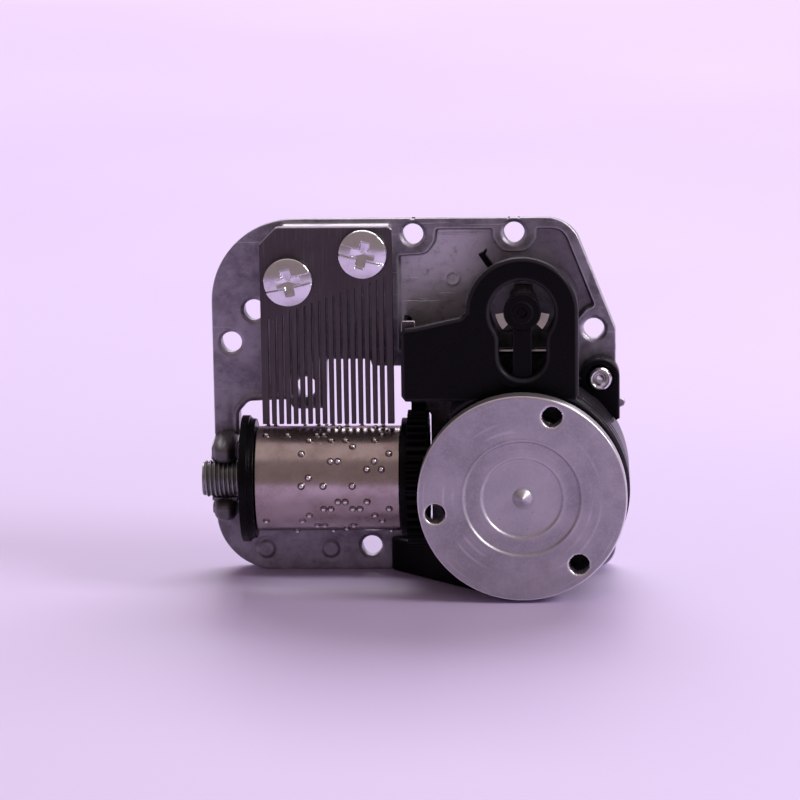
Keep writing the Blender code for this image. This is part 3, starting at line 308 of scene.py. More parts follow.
def patch(u, v, shape, inset, front, back, edge, wall, arcs, wear, place, step):
    """The slab's faces over nodes already in place, as whole arrays."""
    d = inset(u, v)
    sign = np.where(np.abs(d) < 0.03 * step, 0, np.sign(d)).astype(int)
    corner = cells_of(np.arange(u.size).reshape(u.shape)).reshape(-1, 4)
    state = sign.ravel()[corner]
    above = (state > 0).sum(1)
    below = (state < 0).sum(1)

    def centre_inside(cells):
        return inset(u.ravel()[cells].mean(1), v.ravel()[cells].mean(1)) < 0

    whole = corner[above == 0]
    whole = whole[(below[above == 0] > 0) | centre_inside(whole)]
    single = above == 1
    out_at = np.argmax(state[single] > 0, axis=1)
    ring = np.arange(1, 4)
    three = np.take_along_axis(corner[single], (out_at[:, None] + ring) % 4, axis=1)
    three = three[(below[single] > 0) | centre_inside(three)]
    near, far = front(u, v).ravel(), back(u, v).ravel()
    jump_a, jump_b = (sum(np.abs(w[whole[:, k]] - w[whole[:, k + 2]]) for w in (near, far)) for k in (0, 1))
    flat = jump_a + jump_b < 2e-4
    by_a, by_b = whole[~flat & (jump_a <= jump_b)], whole[~flat & (jump_a > jump_b)]
    tris = np.concatenate([three, by_a[:, [0, 1, 2]], by_a[:, [0, 2, 3]],
                           by_b[:, [0, 1, 3]], by_b[:, [1, 2, 3]]])
    quads = whole[flat]
    a, b = open_edges(quads, tris)
    rim = np.unique(np.concatenate([a, b]))
    ru, rv = u.ravel()[rim], v.ravel()[rim]
    gu, gv = uphill(shape, ru, rv, 0.2 * step)
    t = np.linspace(0, math.pi / 2, arcs + 1)[1:]
    side = np.sign(np.mean(far) - np.mean(near))
    round_out, round_in = edge * np.sin(t), edge * (1 - np.cos(t))
    outs = np.concatenate([round_out, [edge + o for o, _ in wall], round_out[::-1]])
    strip_w = [near[rim] + side * deep for deep in (*round_in, *(deep for _, deep in wall))]
    strip_w = np.array(strip_w + [far[rim] - side * deep for deep in round_in[::-1]])
    strip_u, strip_v = ru + outs[:, None] * gu, rv + outs[:, None] * gv

    used = np.unique(np.concatenate([quads.ravel(), tris.ravel()]))
    renumber = np.full(u.size, -1)
    renumber[used] = np.arange(len(used))
    count = len(used)
    uu, vv = u.ravel()[used], v.ravel()[used]
    rings = len(outs)
    ring_index = 2 * count + np.arange(rings * len(rim)).reshape(rings, len(rim))
    on_rim = np.full(u.size, -1)
    on_rim[rim] = np.arange(len(rim))
    ladder = np.concatenate([renumber[rim][None], ring_index, (count + renumber[rim])[None]])
    ia, ib = on_rim[a], on_rim[b]
    sides = np.stack([ladder[:-1, ia], ladder[1:, ia], ladder[1:, ib], ladder[:-1, ib]], -1)
    all_u = np.concatenate([uu, uu, strip_u.ravel()])
    all_v = np.concatenate([vv, vv, strip_v.ravel()])
    all_w = np.concatenate([near[used], far[used], strip_w.ravel()])
    rub = np.concatenate([np.zeros(2 * count) if wear is None
                          else np.concatenate([wear(uu, vv), np.zeros(count)]),
                          np.repeat(outs > 0, len(rim)).astype(float)])
    spots = (all_u, all_w, all_v) if place is None else place(all_u, all_v, all_w)
    quads, tris = renumber[quads], renumber[tris]
    faces = (quads.tolist() + tris.tolist() + (quads[:, ::-1] + count).tolist()
             + (tris[:, ::-1] + count).tolist() + sides.reshape(-1, 4).tolist())
    return np.stack(spots, -1), faces, rub


def leaned(shape, amount, start, fade):
    """Place for a slab whose upward walls lean in as they run back, as a mould's draft does.

    A point w deep moves down by amount * (w - start) * rise, where rise is the upward part of
    the outline's normal, and the shift fades out further than fade inside the outline.
    """
    def place(u, v, w):
        small = 0.05
        rise = np.clip((shape(u, v + small) - shape(u, v - small)) / (2 * small), 0, 1)
        rise = rise * smooth(1 + shape(u, v) / fade)
        return u, w, v - amount * np.maximum(w - start, 0) * rise

    return place


def piece(name, patches, finish, slot, body, replaced=(), crease=38):
    """Join patches into one object in the shared frame, riding on a body.

    A patch is (points, faces) or (points, faces, wear), in the movement's millimetres.
    """
    points, faces, rub, start = [], [], [], 0
    for some in patches:
        spots, loops = some[0], some[1]
        loops = loops.tolist() if isinstance(loops, np.ndarray) else loops
        faces += [[start + k for k in loop] for loop in loops] if start else loops
        points.append(spots)
        rub.append(some[2] if len(some) > 2 else np.zeros(len(spots)))
        start += len(spots)
    spots = (np.concatenate(points) + ORIGIN) * MM
    mesh = bpy.data.meshes.new(name)
    mesh.from_pydata(spots.tolist(), [], faces)
    # The wear attribute holds rubbing, and on some pieces painted highlight and shade: the comb's top edge,
    # the cylinder's pins and the plate's right-hand edges and pocket.
    layer = mesh.attributes.new("wear", "FLOAT", "POINT")
    layer.data.foreach_set("value", np.concatenate(rub).astype(np.float32))
    bm = bmesh.new()
    bm.from_mesh(mesh)
    bmesh.ops.remove_doubles(bm, verts=bm.verts[:], dist=2e-7)
    bmesh.ops.recalc_face_normals(bm, faces=bm.faces[:])
    bm.to_mesh(mesh)
    bm.free()
    mesh.materials.append(finish)
    mesh.shade_smooth()
    mesh.set_sharp_from_angle(angle=math.radians(crease))
    obj = bpy.data.objects.new(name, mesh)
    bpy.context.scene.collection.objects.link(obj)
    if replaced:
        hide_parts(*replaced)
    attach(obj, body)
    return obj


# ------------------------------------------------------------------ materials

class Sock:
    """A socket of a material; sums with it add Math nodes."""

    def __init__(self, paint, socket):
        self.paint, self.socket = paint, socket

    def _sum(self, operation, *values):
        return self.paint.node("Math", {"operation": operation}, dict(enumerate(values)))

    def __add__(self, other):
        return self._sum("ADD", self, other)

    __radd__ = __add__

    def __sub__(self, other):
        return self._sum("SUBTRACT", self, other)

    def __rsub__(self, other):
        return self._sum("SUBTRACT", other, self)

    def __mul__(self, other):
        return self._sum("MULTIPLY", self, other)

    __rmul__ = __mul__


class Paint:
    """One material in the making: node() adds a node, mix() and the others shorten common ones."""

    def __init__(self, name, **fixed):
        self.material = bpy.data.materials.new(name)
        self.material.use_nodes = True
        self.tree = self.material.node_tree
        self.shader = self.tree.nodes["Principled BSDF"]
        for socket, value in fixed.items():
            self.shader.inputs[socket.replace("_", " ")].default_value = value
        place = self.node("TexCoord", output="Object")
        self.mm = self.node("VectorMath", {"operation": "SCALE"}, {0: place, "Scale": 1 / MM})

    def node(self, kind, settings=None, sockets=None, output=0):
        made = self.tree.nodes.new("ShaderNode" + kind)
        for name, value in (settings or {}).items():
            setattr(made, name, value)
        for key, value in (sockets or {}).items():
            self.join(value, made.inputs[key])
        return Sock(self, made.outputs[output])

    def join(self, value, socket):
        if isinstance(value, Sock):
            self.tree.links.new(value.socket, socket)
        else:
            socket.default_value = value

    def set(self, **links):
        for name, value in links.items():
            self.join(value, self.shader.inputs[name.replace("_", " ")])

    def noise(self, scale, detail=4.0, roughness=0.55, stretch=None, turn=0.0, distortion=0.0):
        """Noise from 0 to 1 with scale features per millimetre, stretched along axes if asked."""
        place = self.mm
        if stretch:
            place = self.node("Mapping", {}, {"Vector": self.mm, "Rotation": (0.0, turn, 0.0),
                                              "Scale": stretch})
        return self.node("TexNoise", {}, {"Vector": place, "Scale": scale, "Detail": detail,
                                          "Roughness": roughness, "Distortion": distortion})

    def band(self, value, low, high):
        """0 below low and 1 above high, with a smooth step between."""
        return self.node("MapRange", {"interpolation_type": "SMOOTHSTEP"},
                         {"Value": value, "From Min": low, "From Max": high})

    def mix(self, share, a, b):
        """Colour a where share is 0 and b where it is 1."""
        a, b = [(*c, 1.0) if isinstance(c, tuple) else c for c in (a, b)]
        return self.node("Mix", {"data_type": "RGBA"}, {0: share, 6: a, 7: b}, output=2)

    def attribute(self, name):
        return self.node("Attribute", {"attribute_name": name}, output="Fac")

    def done(self, colour, roughness, height, depth):
        """Set what varies; the relief rises by depth in millimetres as height goes from 0 to 1."""
        relief = self.node("Bump", {}, {"Height": height, "Strength": 1.0, "Distance": depth * MM})
        self.set(Base_Color=colour, Roughness=roughness, Normal=relief)
        return self.material


def scratches(paint, turn, scale=1.1, low=0.66, high=0.70):
    """Long thin marks in one direction: stretched noise cut off high."""
    lines = paint.noise(scale, 3.0, 0.6, stretch=(0.06, 1.0, 2.6), turn=turn, distortion=0.4)
    return paint.band(lines, low, high)


def make_cast_zinc():
    """Satin die casting: flow marks, mottled grey, scratches and rubbed edges; the same lightening also
    paints the plate's highlight along its right-hand edges and a sheen in its pocket.
    """
    p = Paint("cast_zinc", Metallic=0.88)
    flow = p.noise(0.13, 5.0, 0.6, distortion=0.8)
    mottle = p.noise(0.75, 7.0, 0.68)
    grain = p.noise(7.0, 4.0, 0.7)
    colour = p.mix(p.band(flow, 0.35, 0.68), (0.20, 0.18, 0.215), (0.37, 0.345, 0.41))
    colour = p.mix(p.band(mottle, 0.42, 0.72) * 0.45, colour, (0.50, 0.475, 0.55))
    colour = p.mix(p.band(1 - mottle, 0.52, 0.70) * 0.5, colour, (0.14, 0.13, 0.145))
    marks = scratches(p, 0.7) + scratches(p, -0.5, 0.8, 0.68, 0.72)
    colour = p.mix(marks * 0.4, colour, (0.68, 0.66, 0.72))
    wear = p.attribute("wear")
    rub = p.band(wear, 0.0, 0.9) * p.band(mottle, 0.12, 0.52)
    colour = p.mix(p.band(wear, -0.1, -0.9) * 0.7, colour, (0.12, 0.12, 0.11))
    # Lighter where worn; on the plate this also carries the painted highlight on the right-hand edges and the
    # painted sheen in the pocket.
    colour = p.mix(rub * 0.75, colour, (0.80, 0.78, 0.84))
    return p.done(colour, 0.50 - 0.14 * rub + 0.16 * (mottle - 0.5) + 0.08 * (flow - 0.5),
                  0.55 * mottle + 0.45 * grain - 0.4 * marks, 0.045)


def make_comb_steel():
    """Hardened steel with a dark brown-grey face, grinding lines up the teeth, and a painted highlight where
    the wear attribute is set (the comb's top edge).
    """
    p = Paint("comb_steel", Metallic=0.85)
    lines = p.noise(5.0, 4.0, 0.6, stretch=(1.0, 1.0, 0.03))
    cloud = p.noise(0.3, 4.0, 0.6)
    wear = p.attribute("wear")
    colour = p.mix(cloud, (0.060, 0.050, 0.055), (0.105, 0.090, 0.097))
    colour = p.mix(p.band(lines, 0.5, 0.75) * 0.4, colour, (0.17, 0.15, 0.155))
    specks = p.band(p.noise(2.2, 2.0, 0.5), 0.74, 0.78)
    colour = p.mix(specks * 0.5, colour, (0.35, 0.30, 0.28))
    # Painted highlight: the wear attribute lightens the comb's top edge.
    colour = p.mix(wear * 0.8, colour, (0.62, 0.58, 0.62))
    return p.done(colour, 0.42 + 0.18 * (lines - 0.5) - 0.12 * wear, lines, 0.006)


def make_bright_nickel():
    """Bright plate with faint haze, fine scratches and a dulled dirt film in places."""
    p = Paint("bright_nickel", Metallic=1.0)
    haze = p.noise(0.8, 5.0, 0.6)
    fine = p.noise(12.0, 3.0, 0.6)
    marks = scratches(p, 0.4, 3.0, 0.66, 0.70) + scratches(p, -0.9, 3.6, 0.67, 0.71)
    colour = p.mix(p.band(haze, 0.45, 0.75) * 0.6, (0.84, 0.84, 0.88), (0.66, 0.63, 0.66))
    return p.done(colour, 0.13 + 0.14 * p.band(haze, 0.4, 0.8) + 0.08 * marks,
                  0.6 * fine + 0.4 * haze - 0.3 * marks, 0.006)


def make_nickel_sleeve():
    """Polished sleeve with a warm cast, faint turning rings and stains; the wear attribute lightens the pins'
    tops and, below 0, paints shade round the pins' feet.
    """
    p = Paint("nickel_sleeve", Metallic=1.0)
    rings = p.noise(6.0, 3.0, 0.6, stretch=(1.0, 0.02, 0.02))
    stain = p.noise(0.35, 5.0, 0.65)
    fine = p.noise(10.0, 3.0, 0.6)
    wear = p.attribute("wear")
    colour = p.mix(p.band(stain, 0.35, 0.7), (0.56, 0.485, 0.475), (0.43, 0.355, 0.34))
    colour = p.mix(p.band(wear, 0.1, 0.9), colour, (0.88, 0.85, 0.86))
    # Painted shade: wear below 0 darkens the ring round each pin's foot.
    colour = p.mix(p.band(wear, -0.1, -0.9) * 0.75, colour, (0.10, 0.07, 0.07))
    return p.done(colour, 0.20 + 0.10 * p.band(stain, 0.4, 0.8) + 0.05 * rings,
                  0.5 * rings + 0.5 * fine, 0.004)


def make_black_plastic():
    """Glossy moulded plastic: slight orange peel, dust and rubbed greyer edges."""
    p = Paint("black_plastic", Metallic=0.0, Specular_IOR_Level=0.09)
    peel = p.noise(1.6, 3.0, 0.5)
    fine = p.noise(9.0, 4.0, 0.65)
    dust = p.band(p.noise(6.0, 2.0, 0.5), 0.76, 0.79)
    wear = p.attribute("wear")
    colour = p.mix(peel, (0.0015, 0.0013, 0.002), (0.0032, 0.0028, 0.0042))
    colour = p.mix(dust * 0.2, colour, (0.16, 0.14, 0.16))
    colour = p.mix(wear * 0.25, colour, (0.09, 0.08, 0.10))
    return p.done(colour, 0.28 + 0.14 * (fine - 0.5) + 0.12 * dust, 0.7 * peel + 0.3 * fine, 0.02)


def make_turned_alloy():
    """Satin disc: fine speckle, cloudy grey, faint turning arcs and knocks."""
    p = Paint("turned_alloy", Metallic=0.9)
    mid = middle("turntable") + ORIGIN
    local = p.node("Mapping", {}, {"Vector": p.mm, "Location": tuple(float(-c) for c in mid)})
    across, up = (p.node("SeparateXYZ", {}, {0: local}, output=k) for k in (0, 2))
    radius = p.node("Math", {"operation": "SQRT"}, {0: across * across + up * up})
    rings, arcs = (p.node("TexNoise", {"noise_dimensions": "1D"},
                          {"W": radius, "Scale": scale, "Detail": detail})
                   for scale, detail in ((9.0, 4.0), (1.6, 2.0)))
    arcs = p.band(arcs, 0.60, 0.66)
    some = p.band(p.noise(0.12, 2.0, 0.5), 0.5, 0.62)
    cloud = p.noise(0.22, 5.0, 0.6)
    speckle = p.noise(4.2, 5.0, 0.75)
    pits = p.band(p.noise(2.6, 3.0, 0.6), 0.70, 0.76)
    wear = p.attribute("wear")
    colour = p.mix(p.band(cloud, 0.3, 0.7), (0.36, 0.34, 0.38), (0.50, 0.475, 0.525))
    colour = p.mix(p.band(radius, 5.9, 4.9) * 0.3, colour, (0.70, 0.68, 0.73))
    colour = p.mix(p.band(speckle, 0.45, 0.7) * 0.35, colour, (0.66, 0.64, 0.70))
    colour = p.mix(pits * 0.7, colour, (0.15, 0.135, 0.14))
    colour = p.mix(arcs * some * 0.35, colour, (0.72, 0.70, 0.75))
    colour = p.mix(wear * 0.85, colour, (0.88, 0.86, 0.90))
    return p.done(colour, 0.46 + 0.14 * (speckle - 0.5) - 0.12 * wear - 0.05 * arcs * some,
                  0.45 * speckle + 0.25 * rings - 0.6 * pits + 0.2 * arcs * some, 0.034)


def make_shaft_steel():
    """Bare drawn steel with a grey-green dull film."""
    p = Paint("shaft_steel", Metallic=0.95)
    film = p.noise(0.8, 5.0, 0.65)
    fine = p.noise(8.0, 4.0, 0.65)
    wear = p.attribute("wear")
    colour = p.mix(p.band(film, 0.35, 0.7), (0.30, 0.31, 0.30), (0.17, 0.175, 0.17))
    colour = p.mix(wear * 0.6, colour, (0.62, 0.63, 0.62))
    return p.done(colour, 0.34 + 0.2 * (film - 0.4), 0.5 * film + 0.5 * fine, 0.012)


def make_gear_brass():
    """Machined brass, slightly tarnished."""
    p = Paint("gear_brass", Metallic=1.0)
    tarnish = p.noise(0.6, 5.0, 0.6)
    fine = p.noise(7.0, 4.0, 0.6)
    colour = p.mix(p.band(tarnish, 0.35, 0.75), (0.66, 0.46, 0.19), (0.42, 0.27, 0.12))
    return p.done(colour, 0.27 + 0.2 * (tarnish - 0.4), fine, 0.006)


def plain_finish(name, metallic, tone, fine, colours, rough, depth):
    """Two noises: one mixes the colours, and the other is the relief and rough[0] + rough[1] * it."""
    p = Paint(name, Metallic=metallic)
    relief = p.noise(*fine)
    return p.done(p.mix(p.noise(*tone), *colours), rough[0] + rough[1] * relief, relief, depth)


FINISH = {make.__name__[len("make_"):]: make() for make in (
    make_cast_zinc, make_comb_steel, make_bright_nickel, make_nickel_sleeve, make_black_plastic,
    make_turned_alloy, make_shaft_steel, make_gear_brass)}
FINISH["spring_steel"] = plain_finish("spring_steel", 1.0, (0.4, 3.0, 0.5),
                                      (6.0, 3.0, 0.6, (0.15, 1.0, 0.15)),
                                      ((0.13, 0.14, 0.19), (0.26, 0.26, 0.29)), (0.225, 0.15), 0.005)
FINISH["nylon"] = plain_finish("nylon", 0.0, (0.6, 4.0, 0.55), (6.0, 4.0, 0.6),
                               ((0.66, 0.64, 0.58), (0.76, 0.75, 0.70)), (0.39, 0.14), 0.01)
SHAFT_LINES = (5.0, 3.0, 0.6, (1.0, 0.05, 0.05))
# A brighter copy of the shaft steel, used only on the worm wheel's shaft: a painted glint.
SHAFT_GLINT_STEEL = plain_finish("shaft_steel_painted_glint", 1.0, SHAFT_LINES, SHAFT_LINES,
                        ((0.66, 0.65, 0.68), (0.80, 0.79, 0.82)), (0.16, 0.1), 0.003)
SLOT_OF = {row["node"]: row["material_slot"] for row in frame["record"]["subparts"]}


def built(name, patches, replaced, body, crease=38):
    """A piece in the finish of the first CAD node that it replaces."""
    slot = SLOT_OF[replaced[0]]
    return piece(name, patches, FINISH[slot], slot, body, replaced, crease)


# ------------------------------------------------------------------ plate

HOLES = [(LEFT + 2.35, 29.4), (LEFT + 5.3, 33.5), (0.05, TOP - 2.0), (12.65, TOP - 1.85),
         (RIGHT - 2.75, 30.9), (-5.65, 3.0), (COMB_LOW[0] + 5.1, AXLE_Z + 10.4)]
HOLE_R, HOLE_LIP = 1.3, 0.42
SHOULDER_RUN, SHOULDER_DROP = 5.6, 14.2
RIM, POCKET = 1.25, 1.2
LUG_Z = 21.4
SEAT_Y = COMB_HIGH[1] + 0.1


def corner_arc(centre, radius, start, end, steps=14):
    """Points of an arc from start to end degrees."""
    t = np.radians(np.linspace(start, end, steps))
    return np.stack([centre[0] + radius * np.cos(t), centre[1] + radius * np.sin(t)], -1)


def plate_outline():
    """Outline of the cast plate: round left corners, slanted right shoulder, small lug."""
    shoulder = rounded([(0, TOP), (RIGHT - SHOULDER_RUN, TOP, 4.5), (RIGHT, TOP - SHOULDER_DROP, 1.0),
                        (RIGHT, LUG_Z + 0.9, 0.3), (RIGHT + 1.15, LUG_Z + 0.35, 0.3),
                        (RIGHT + 1.15, LUG_Z - 0.3, 0.2), (RIGHT, LUG_Z - 0.75, 0.3), (RIGHT, 3.0)],
                       1.0, 8)[1:-1]
    return np.concatenate([corner_arc((LEFT + 7.5, 7.5), 7.5, 180, 270, 24),
                           corner_arc((RIGHT - 3.0, 3.0), 3.0, 270, 360, 10), shoulder[::-1],
                           corner_arc((LEFT + 10.5, TOP - 10.5), 10.5, 90, 180, 28)])


def window_outline():
    """The opening for the cylinder, with its stepped top edge."""
    cap_r, gear_r = (CAP_HIGH[2] - CAP_LOW[2]) / 2, (GEAR_HIGH[2] - GEAR_LOW[2]) / 2
    half = math.sqrt(max(cap_r, gear_r) ** 2 - AXLE_Y ** 2) + 0.6
    left, right = CAP_LOW[0] - 0.8, GEAR_HIGH[0] + 0.15
    low, top = AXLE_Z - half, AXLE_Z + half + 1.5
    step = COMB_LOW[0] + 7.5
    corners = [(left, low, 1.5), (right, low, 0.6), (right, top - 1.7, 0.4), (right - 1.6, top, 0.6),
               (right - 1.6, top + 4.5, 0.5), (step + 5.9, top + 4.5, 0.3), (step + 5.7, top + 5.4, 0.5),
               (step + 0.2, top + 5.4, 0.5), (step, top - 0.9, 0.6), (step - 4.1, top - 0.9, 0.6),
               (step - 4.6, top + 0.3, 0.8), (left + 1.2, top + 0.1, 1.2), (left, top - 1.3, 1.0)]
    return rounded(corners, 0.5, 6, loop=True)


def rim_x(z):
    """X of the pocket's edge along the slanted shoulder, one rim inside it."""
    slope = SHOULDER_RUN / SHOULDER_DROP
    return RIGHT - slope * (z - TOP + SHOULDER_DROP) - RIM * math.hypot(1, slope)


def pocket_outline():
    """Pocket behind the governor, between the rim, the holes' bosses and the comb."""
    top, start, low, sill = TOP - RIM, COMB_HIGH[0] + 0.4, FIRST_Z - 1.4, AXLE_Z + 14.8
    (x, z), boss = HOLES[3], HOLES[4][1]
    corners = [(start, sill, 0.5), (5.0, sill, 0.5), (5.0, low, 0.5), (20.4, low, 0.5),
               (20.4, boss + 1.0, 1.2), (21.6, boss + 2.4, 0.8), (rim_x(boss + 2.9), boss + 2.9, 0.5),
               (rim_x(top), top, 3.4), (x + 2.7, top, 0.4), (x + 2.6, z - 0.8, 0.6),
               (x + 1.5, z - 2.3, 1.4), (x - 1.5, z - 2.3, 1.4), (x - 2.5, z - 0.6, 0.5),
               (x - 2.6, top, 0.4), (2.85, top, 0.5), (2.6, TOP - 3.0, 0.6), (1.6, TOP - 4.4, 1.2),
               (start, TOP - 4.6, 0.4)]
    return rounded(corners, 0.5, 5, loop=True)


def make_plate():
    """Cast plate as a relief: pocket, comb seat, bush bracket, pips, bosses and rims."""
    outline, window, pocket = plate_outline(), window_outline(), pocket_outline()
    seat = rounded([(COMB_LOW[0] + 0.6, TOP - 9.6), (COMB_HIGH[0] - 0.4, TOP - 4.4),
                    (COMB_HIGH[0] - 0.4, TOP - 0.5), (COMB_LOW[0] + 2.6, TOP - 0.5),
                    (COMB_LOW[0] + 0.6, TOP - 2.5)], 0.4, 4, loop=True)
    bracket_low, bracket_high = (LEFT + 0.05, AXLE_Z - 5.6), (CAP_LOW[0] - 0.75, AXLE_Z + 4.9)
    pips = [(-19.0, 2.7), (-10.85, 2.7)]
    draft, bead, rim_line, bush_r = 0.34, 0.9, 1.5, 2.4

    def holes(u, v):
        return np.minimum.reduce([disc(u, v, spot, HOLE_R) for spot in HOLES])

    def shape(u, v):
        opened = np.minimum(holes(u, v), polygon(u, v, window))
        return np.maximum(polygon(u, v, outline), -opened)

    def in_pocket(u, v):
        return np.maximum(polygon(u, v, pocket), -disc(u, v, HOLES[4], 2.15))

    def in_seat(u, v):
        return polygon(u, v, seat)

    def in_bracket(u, v):
        return np.minimum(bar(u, v, bracket_low, (bracket_high[0], AXLE_Z - 2.45), 1.3),
                          bar(u, v, (bracket_low[0], AXLE_Z + 1.75), bracket_high, 1.3))

    def in_web(u, v):
        return bar(u, v, (bracket_low[0], AXLE_Z - 3.0), (bracket_high[0], AXLE_Z + 3.0), 0.2)

    def in_left(u, v):
        """Faint hollow inside the rim of the left-hand half."""
        return np.maximum(polygon(u, v, outline) + rim_line, u - COMB_LOW[0] - 3.0)

    def front(u, v):
        w = POCKET * ramp(in_pocket(u, v), draft)
        w = w + 0.10 * ramp(in_left(u, v), 1.1) + 0.30 * smooth(1 - holes(u, v) / HOLE_LIP)
        near_window = polygon(u, v, window)
        left_part = smooth((-12.0 - u) / 2.0) * smooth((v - AXLE_Z + 2.0) / 3.0)
        w = w - 0.42 * np.sin(np.pi * np.clip(near_window / bead, 0, 1)) * left_part
        w = w + (SEAT_Y - w) * ramp(in_seat(u, v), draft)
        for spot in pips:
            far = disc(u, v, spot, 0)
            w = w - 0.25 * smooth((1.15 - far) / 0.3) + 0.12 * ridge(far - 1.35, 0.18)
        w = w - 0.05 * ridge(disc(u, v, (4.9, 37.2), 0.8), 0.16)
        across = np.clip(v - AXLE_Z, -bush_r, bush_r)
        groove = AXLE_Y + np.sqrt(bush_r ** 2 - across ** 2)
        w = np.where(in_web(u, v) < 0, np.minimum(w, groove), w)
        dome = np.sqrt(1 - (1 - np.clip(-in_bracket(u, v) / 1.1, 0, 1)) ** 2)
        return np.where(in_bracket(u, v) < 0, np.minimum(w, -3.4 - 3.85 * dome), w)

    def back(u, v):
        return PLATE_T - 1.9 * smooth((u - RIGHT + 0.1) / 0.2) * smooth((0.9 - np.abs(v - LUG_Z)) / 0.1)

    def wear(u, v):
        """Rubbed along the rims of the pocket, the seat and the bracket; the left of the pocket's floor is
        lightened as a painted sheen.
        """
        lines = np.minimum(np.abs(in_pocket(u, v)), np.abs(in_seat(u, v)))
        lines = np.minimum(lines, np.abs(in_bracket(u, v) + 0.5))
        rubbed = 0.6 * smooth(1 - lines / 0.32) + 0.5 * smooth(1 - holes(u, v) / 0.5)
        # Painted sheen: the pocket's floor is lightened towards the left.
        floor = 0.85 * smooth(-in_pocket(u, v) / 0.6) * smooth((18.0 - u) / 12.0)
        return np.where(in_bracket(u, v) < 0.1, -1.0, rubbed + floor)

    skin = slab(shape, ((LEFT - 0.3, RIGHT + 1.6), (-0.3, TOP + 0.3)), 0.17, front, back, edge=0.15,
                place=leaned(shape, 0.14, 0.3, 2.5),
                lines=(further(in_pocket, draft), in_pocket, in_seat, further(in_seat, draft),
                       in_bracket, in_web, further(holes, -HOLE_LIP)), wear=wear)
    points, faces, rub = skin
    # Edges: rubbed at 0.35, rising to full towards the right-hand side, where the extra brightness is a
    # painted highlight.
    rub = np.where(rub == 1.0, 0.35 + 0.65 * smooth((points[:, 0] - 18.0) / 2.0), rub)
    return built("plate_casting", [(points, faces, rub)], ["base_plate"], "plate", crease=48)


# ------------------------------------------------------------------ comb and screws

TEETH = 18
SLOT_ROOT, SLOT_TIP = 0.22, 0.33


def make_comb():
    """Comb as a grid bent to fit: each slot ends on its own height of a slanted line."""
    left, right, tip, top = COMB_LOW[0], COMB_HIGH[0], COMB_LOW[2], COMB_HIGH[2]
    # The last number is the depth of the strip along the top edge that carries the painted highlight.
    side, chamfer, right_chamfer, painted_highlight_band = 0.1, 2.1, 0.35, 0.16
    pitch = (right - left - 2 * side) / TEETH
    slot_left, slot_right = top - 11.6, top - 5.9
    cuts = left + side + pitch * np.arange(1, TEETH)
    starts = np.concatenate([[left], cuts])
    stops = np.concatenate([cuts, [right]])
    inner = np.linspace(0.0, 1.0, 3)
    first, last = np.arange(TEETH) > 0, np.arange(TEETH) < TEETH - 1

    def columns_at(slot):
        """X of each tooth's three columns where the slots between the teeth are slot wide."""
        low, high = starts + first * slot / 2, stops - last * slot / 2
        return (low[:, None] + inner * (high - low)[:, None]).ravel()

    x_root, x_tip = columns_at(SLOT_ROOT), columns_at(SLOT_TIP)
    columns = len(x_root)
    tooth = np.arange(columns) // len(inner)
    is_slot = np.arange(columns - 1) % len(inner) == len(inner) - 1
    root = slot_left + (slot_right - slot_left) * (x_root - left) / (right - left)
    slot_of = np.where(np.arange(columns) % len(inner) == 0, tooth - 1, tooth)
    flat_root = slot_left + (slot_right - slot_left) * (slot_of + 0.5) / TEETH
    root = np.where(np.arange(columns) % len(inner) == 1, root, flat_root)
    low_rows, high_rows = np.linspace(0, 1, 15), np.linspace(0, 1, 7)[1:]
    corners = np.minimum(top - chamfer + (x_root - left), top - right_chamfer + (right - x_root))
    ceiling = np.minimum(top, corners)
    z = np.concatenate([tip + low_rows[None] * (root[:, None] - tip),
                        root[:, None] + high_rows[None] * (ceiling - painted_highlight_band - root)[:, None],
                        ceiling[:, None]], 1)
    share = np.clip((z - tip) / (root[:, None] - tip), 0, 1)
    x = x_tip[:, None] + (x_root - x_tip)[:, None] * share
    keep = ~(is_slot[:, None] & (np.arange(z.shape[1] - 1) < len(low_rows) - 1)[None])
    front, back = COMB_LOW[1], COMB_HIGH[1]
    thin = 0.12 * smooth(1 - share * 5)
    cells = cells_of(np.arange(x.size).reshape(x.shape))[keep]
    a, b = open_edges(cells)
    faces = np.concatenate([cells, cells[:, ::-1] + x.size, np.stack([b, a, a + x.size, b + x.size], -1)])
    points = np.concatenate([np.stack([x, front + thin, z], -1).reshape(-1, 3),
                             np.stack([x, np.full(x.shape, back), z], -1).reshape(-1, 3)])
    used = np.unique(faces)
    renumber = np.zeros(len(points), int)
    renumber[used] = np.arange(len(used))
    rub = np.zeros(x.shape)
    # The top row gets full wear: a painted highlight along the comb's top edge.
    rub[:, -1] = 1.0
    rub = np.tile(rub.ravel(), 2)[used]
    comb = built("tuned_comb", [(points[used], renumber[faces], rub)], ["comb"], "plate", crease=30)
    bevel = comb.modifiers.new("edges", "BEVEL")
    bevel.width = 0.07 * MM
    bevel.segments = 2
    bevel.limit_method = "ANGLE"
    bevel.angle_limit = math.radians(40)
    return comb


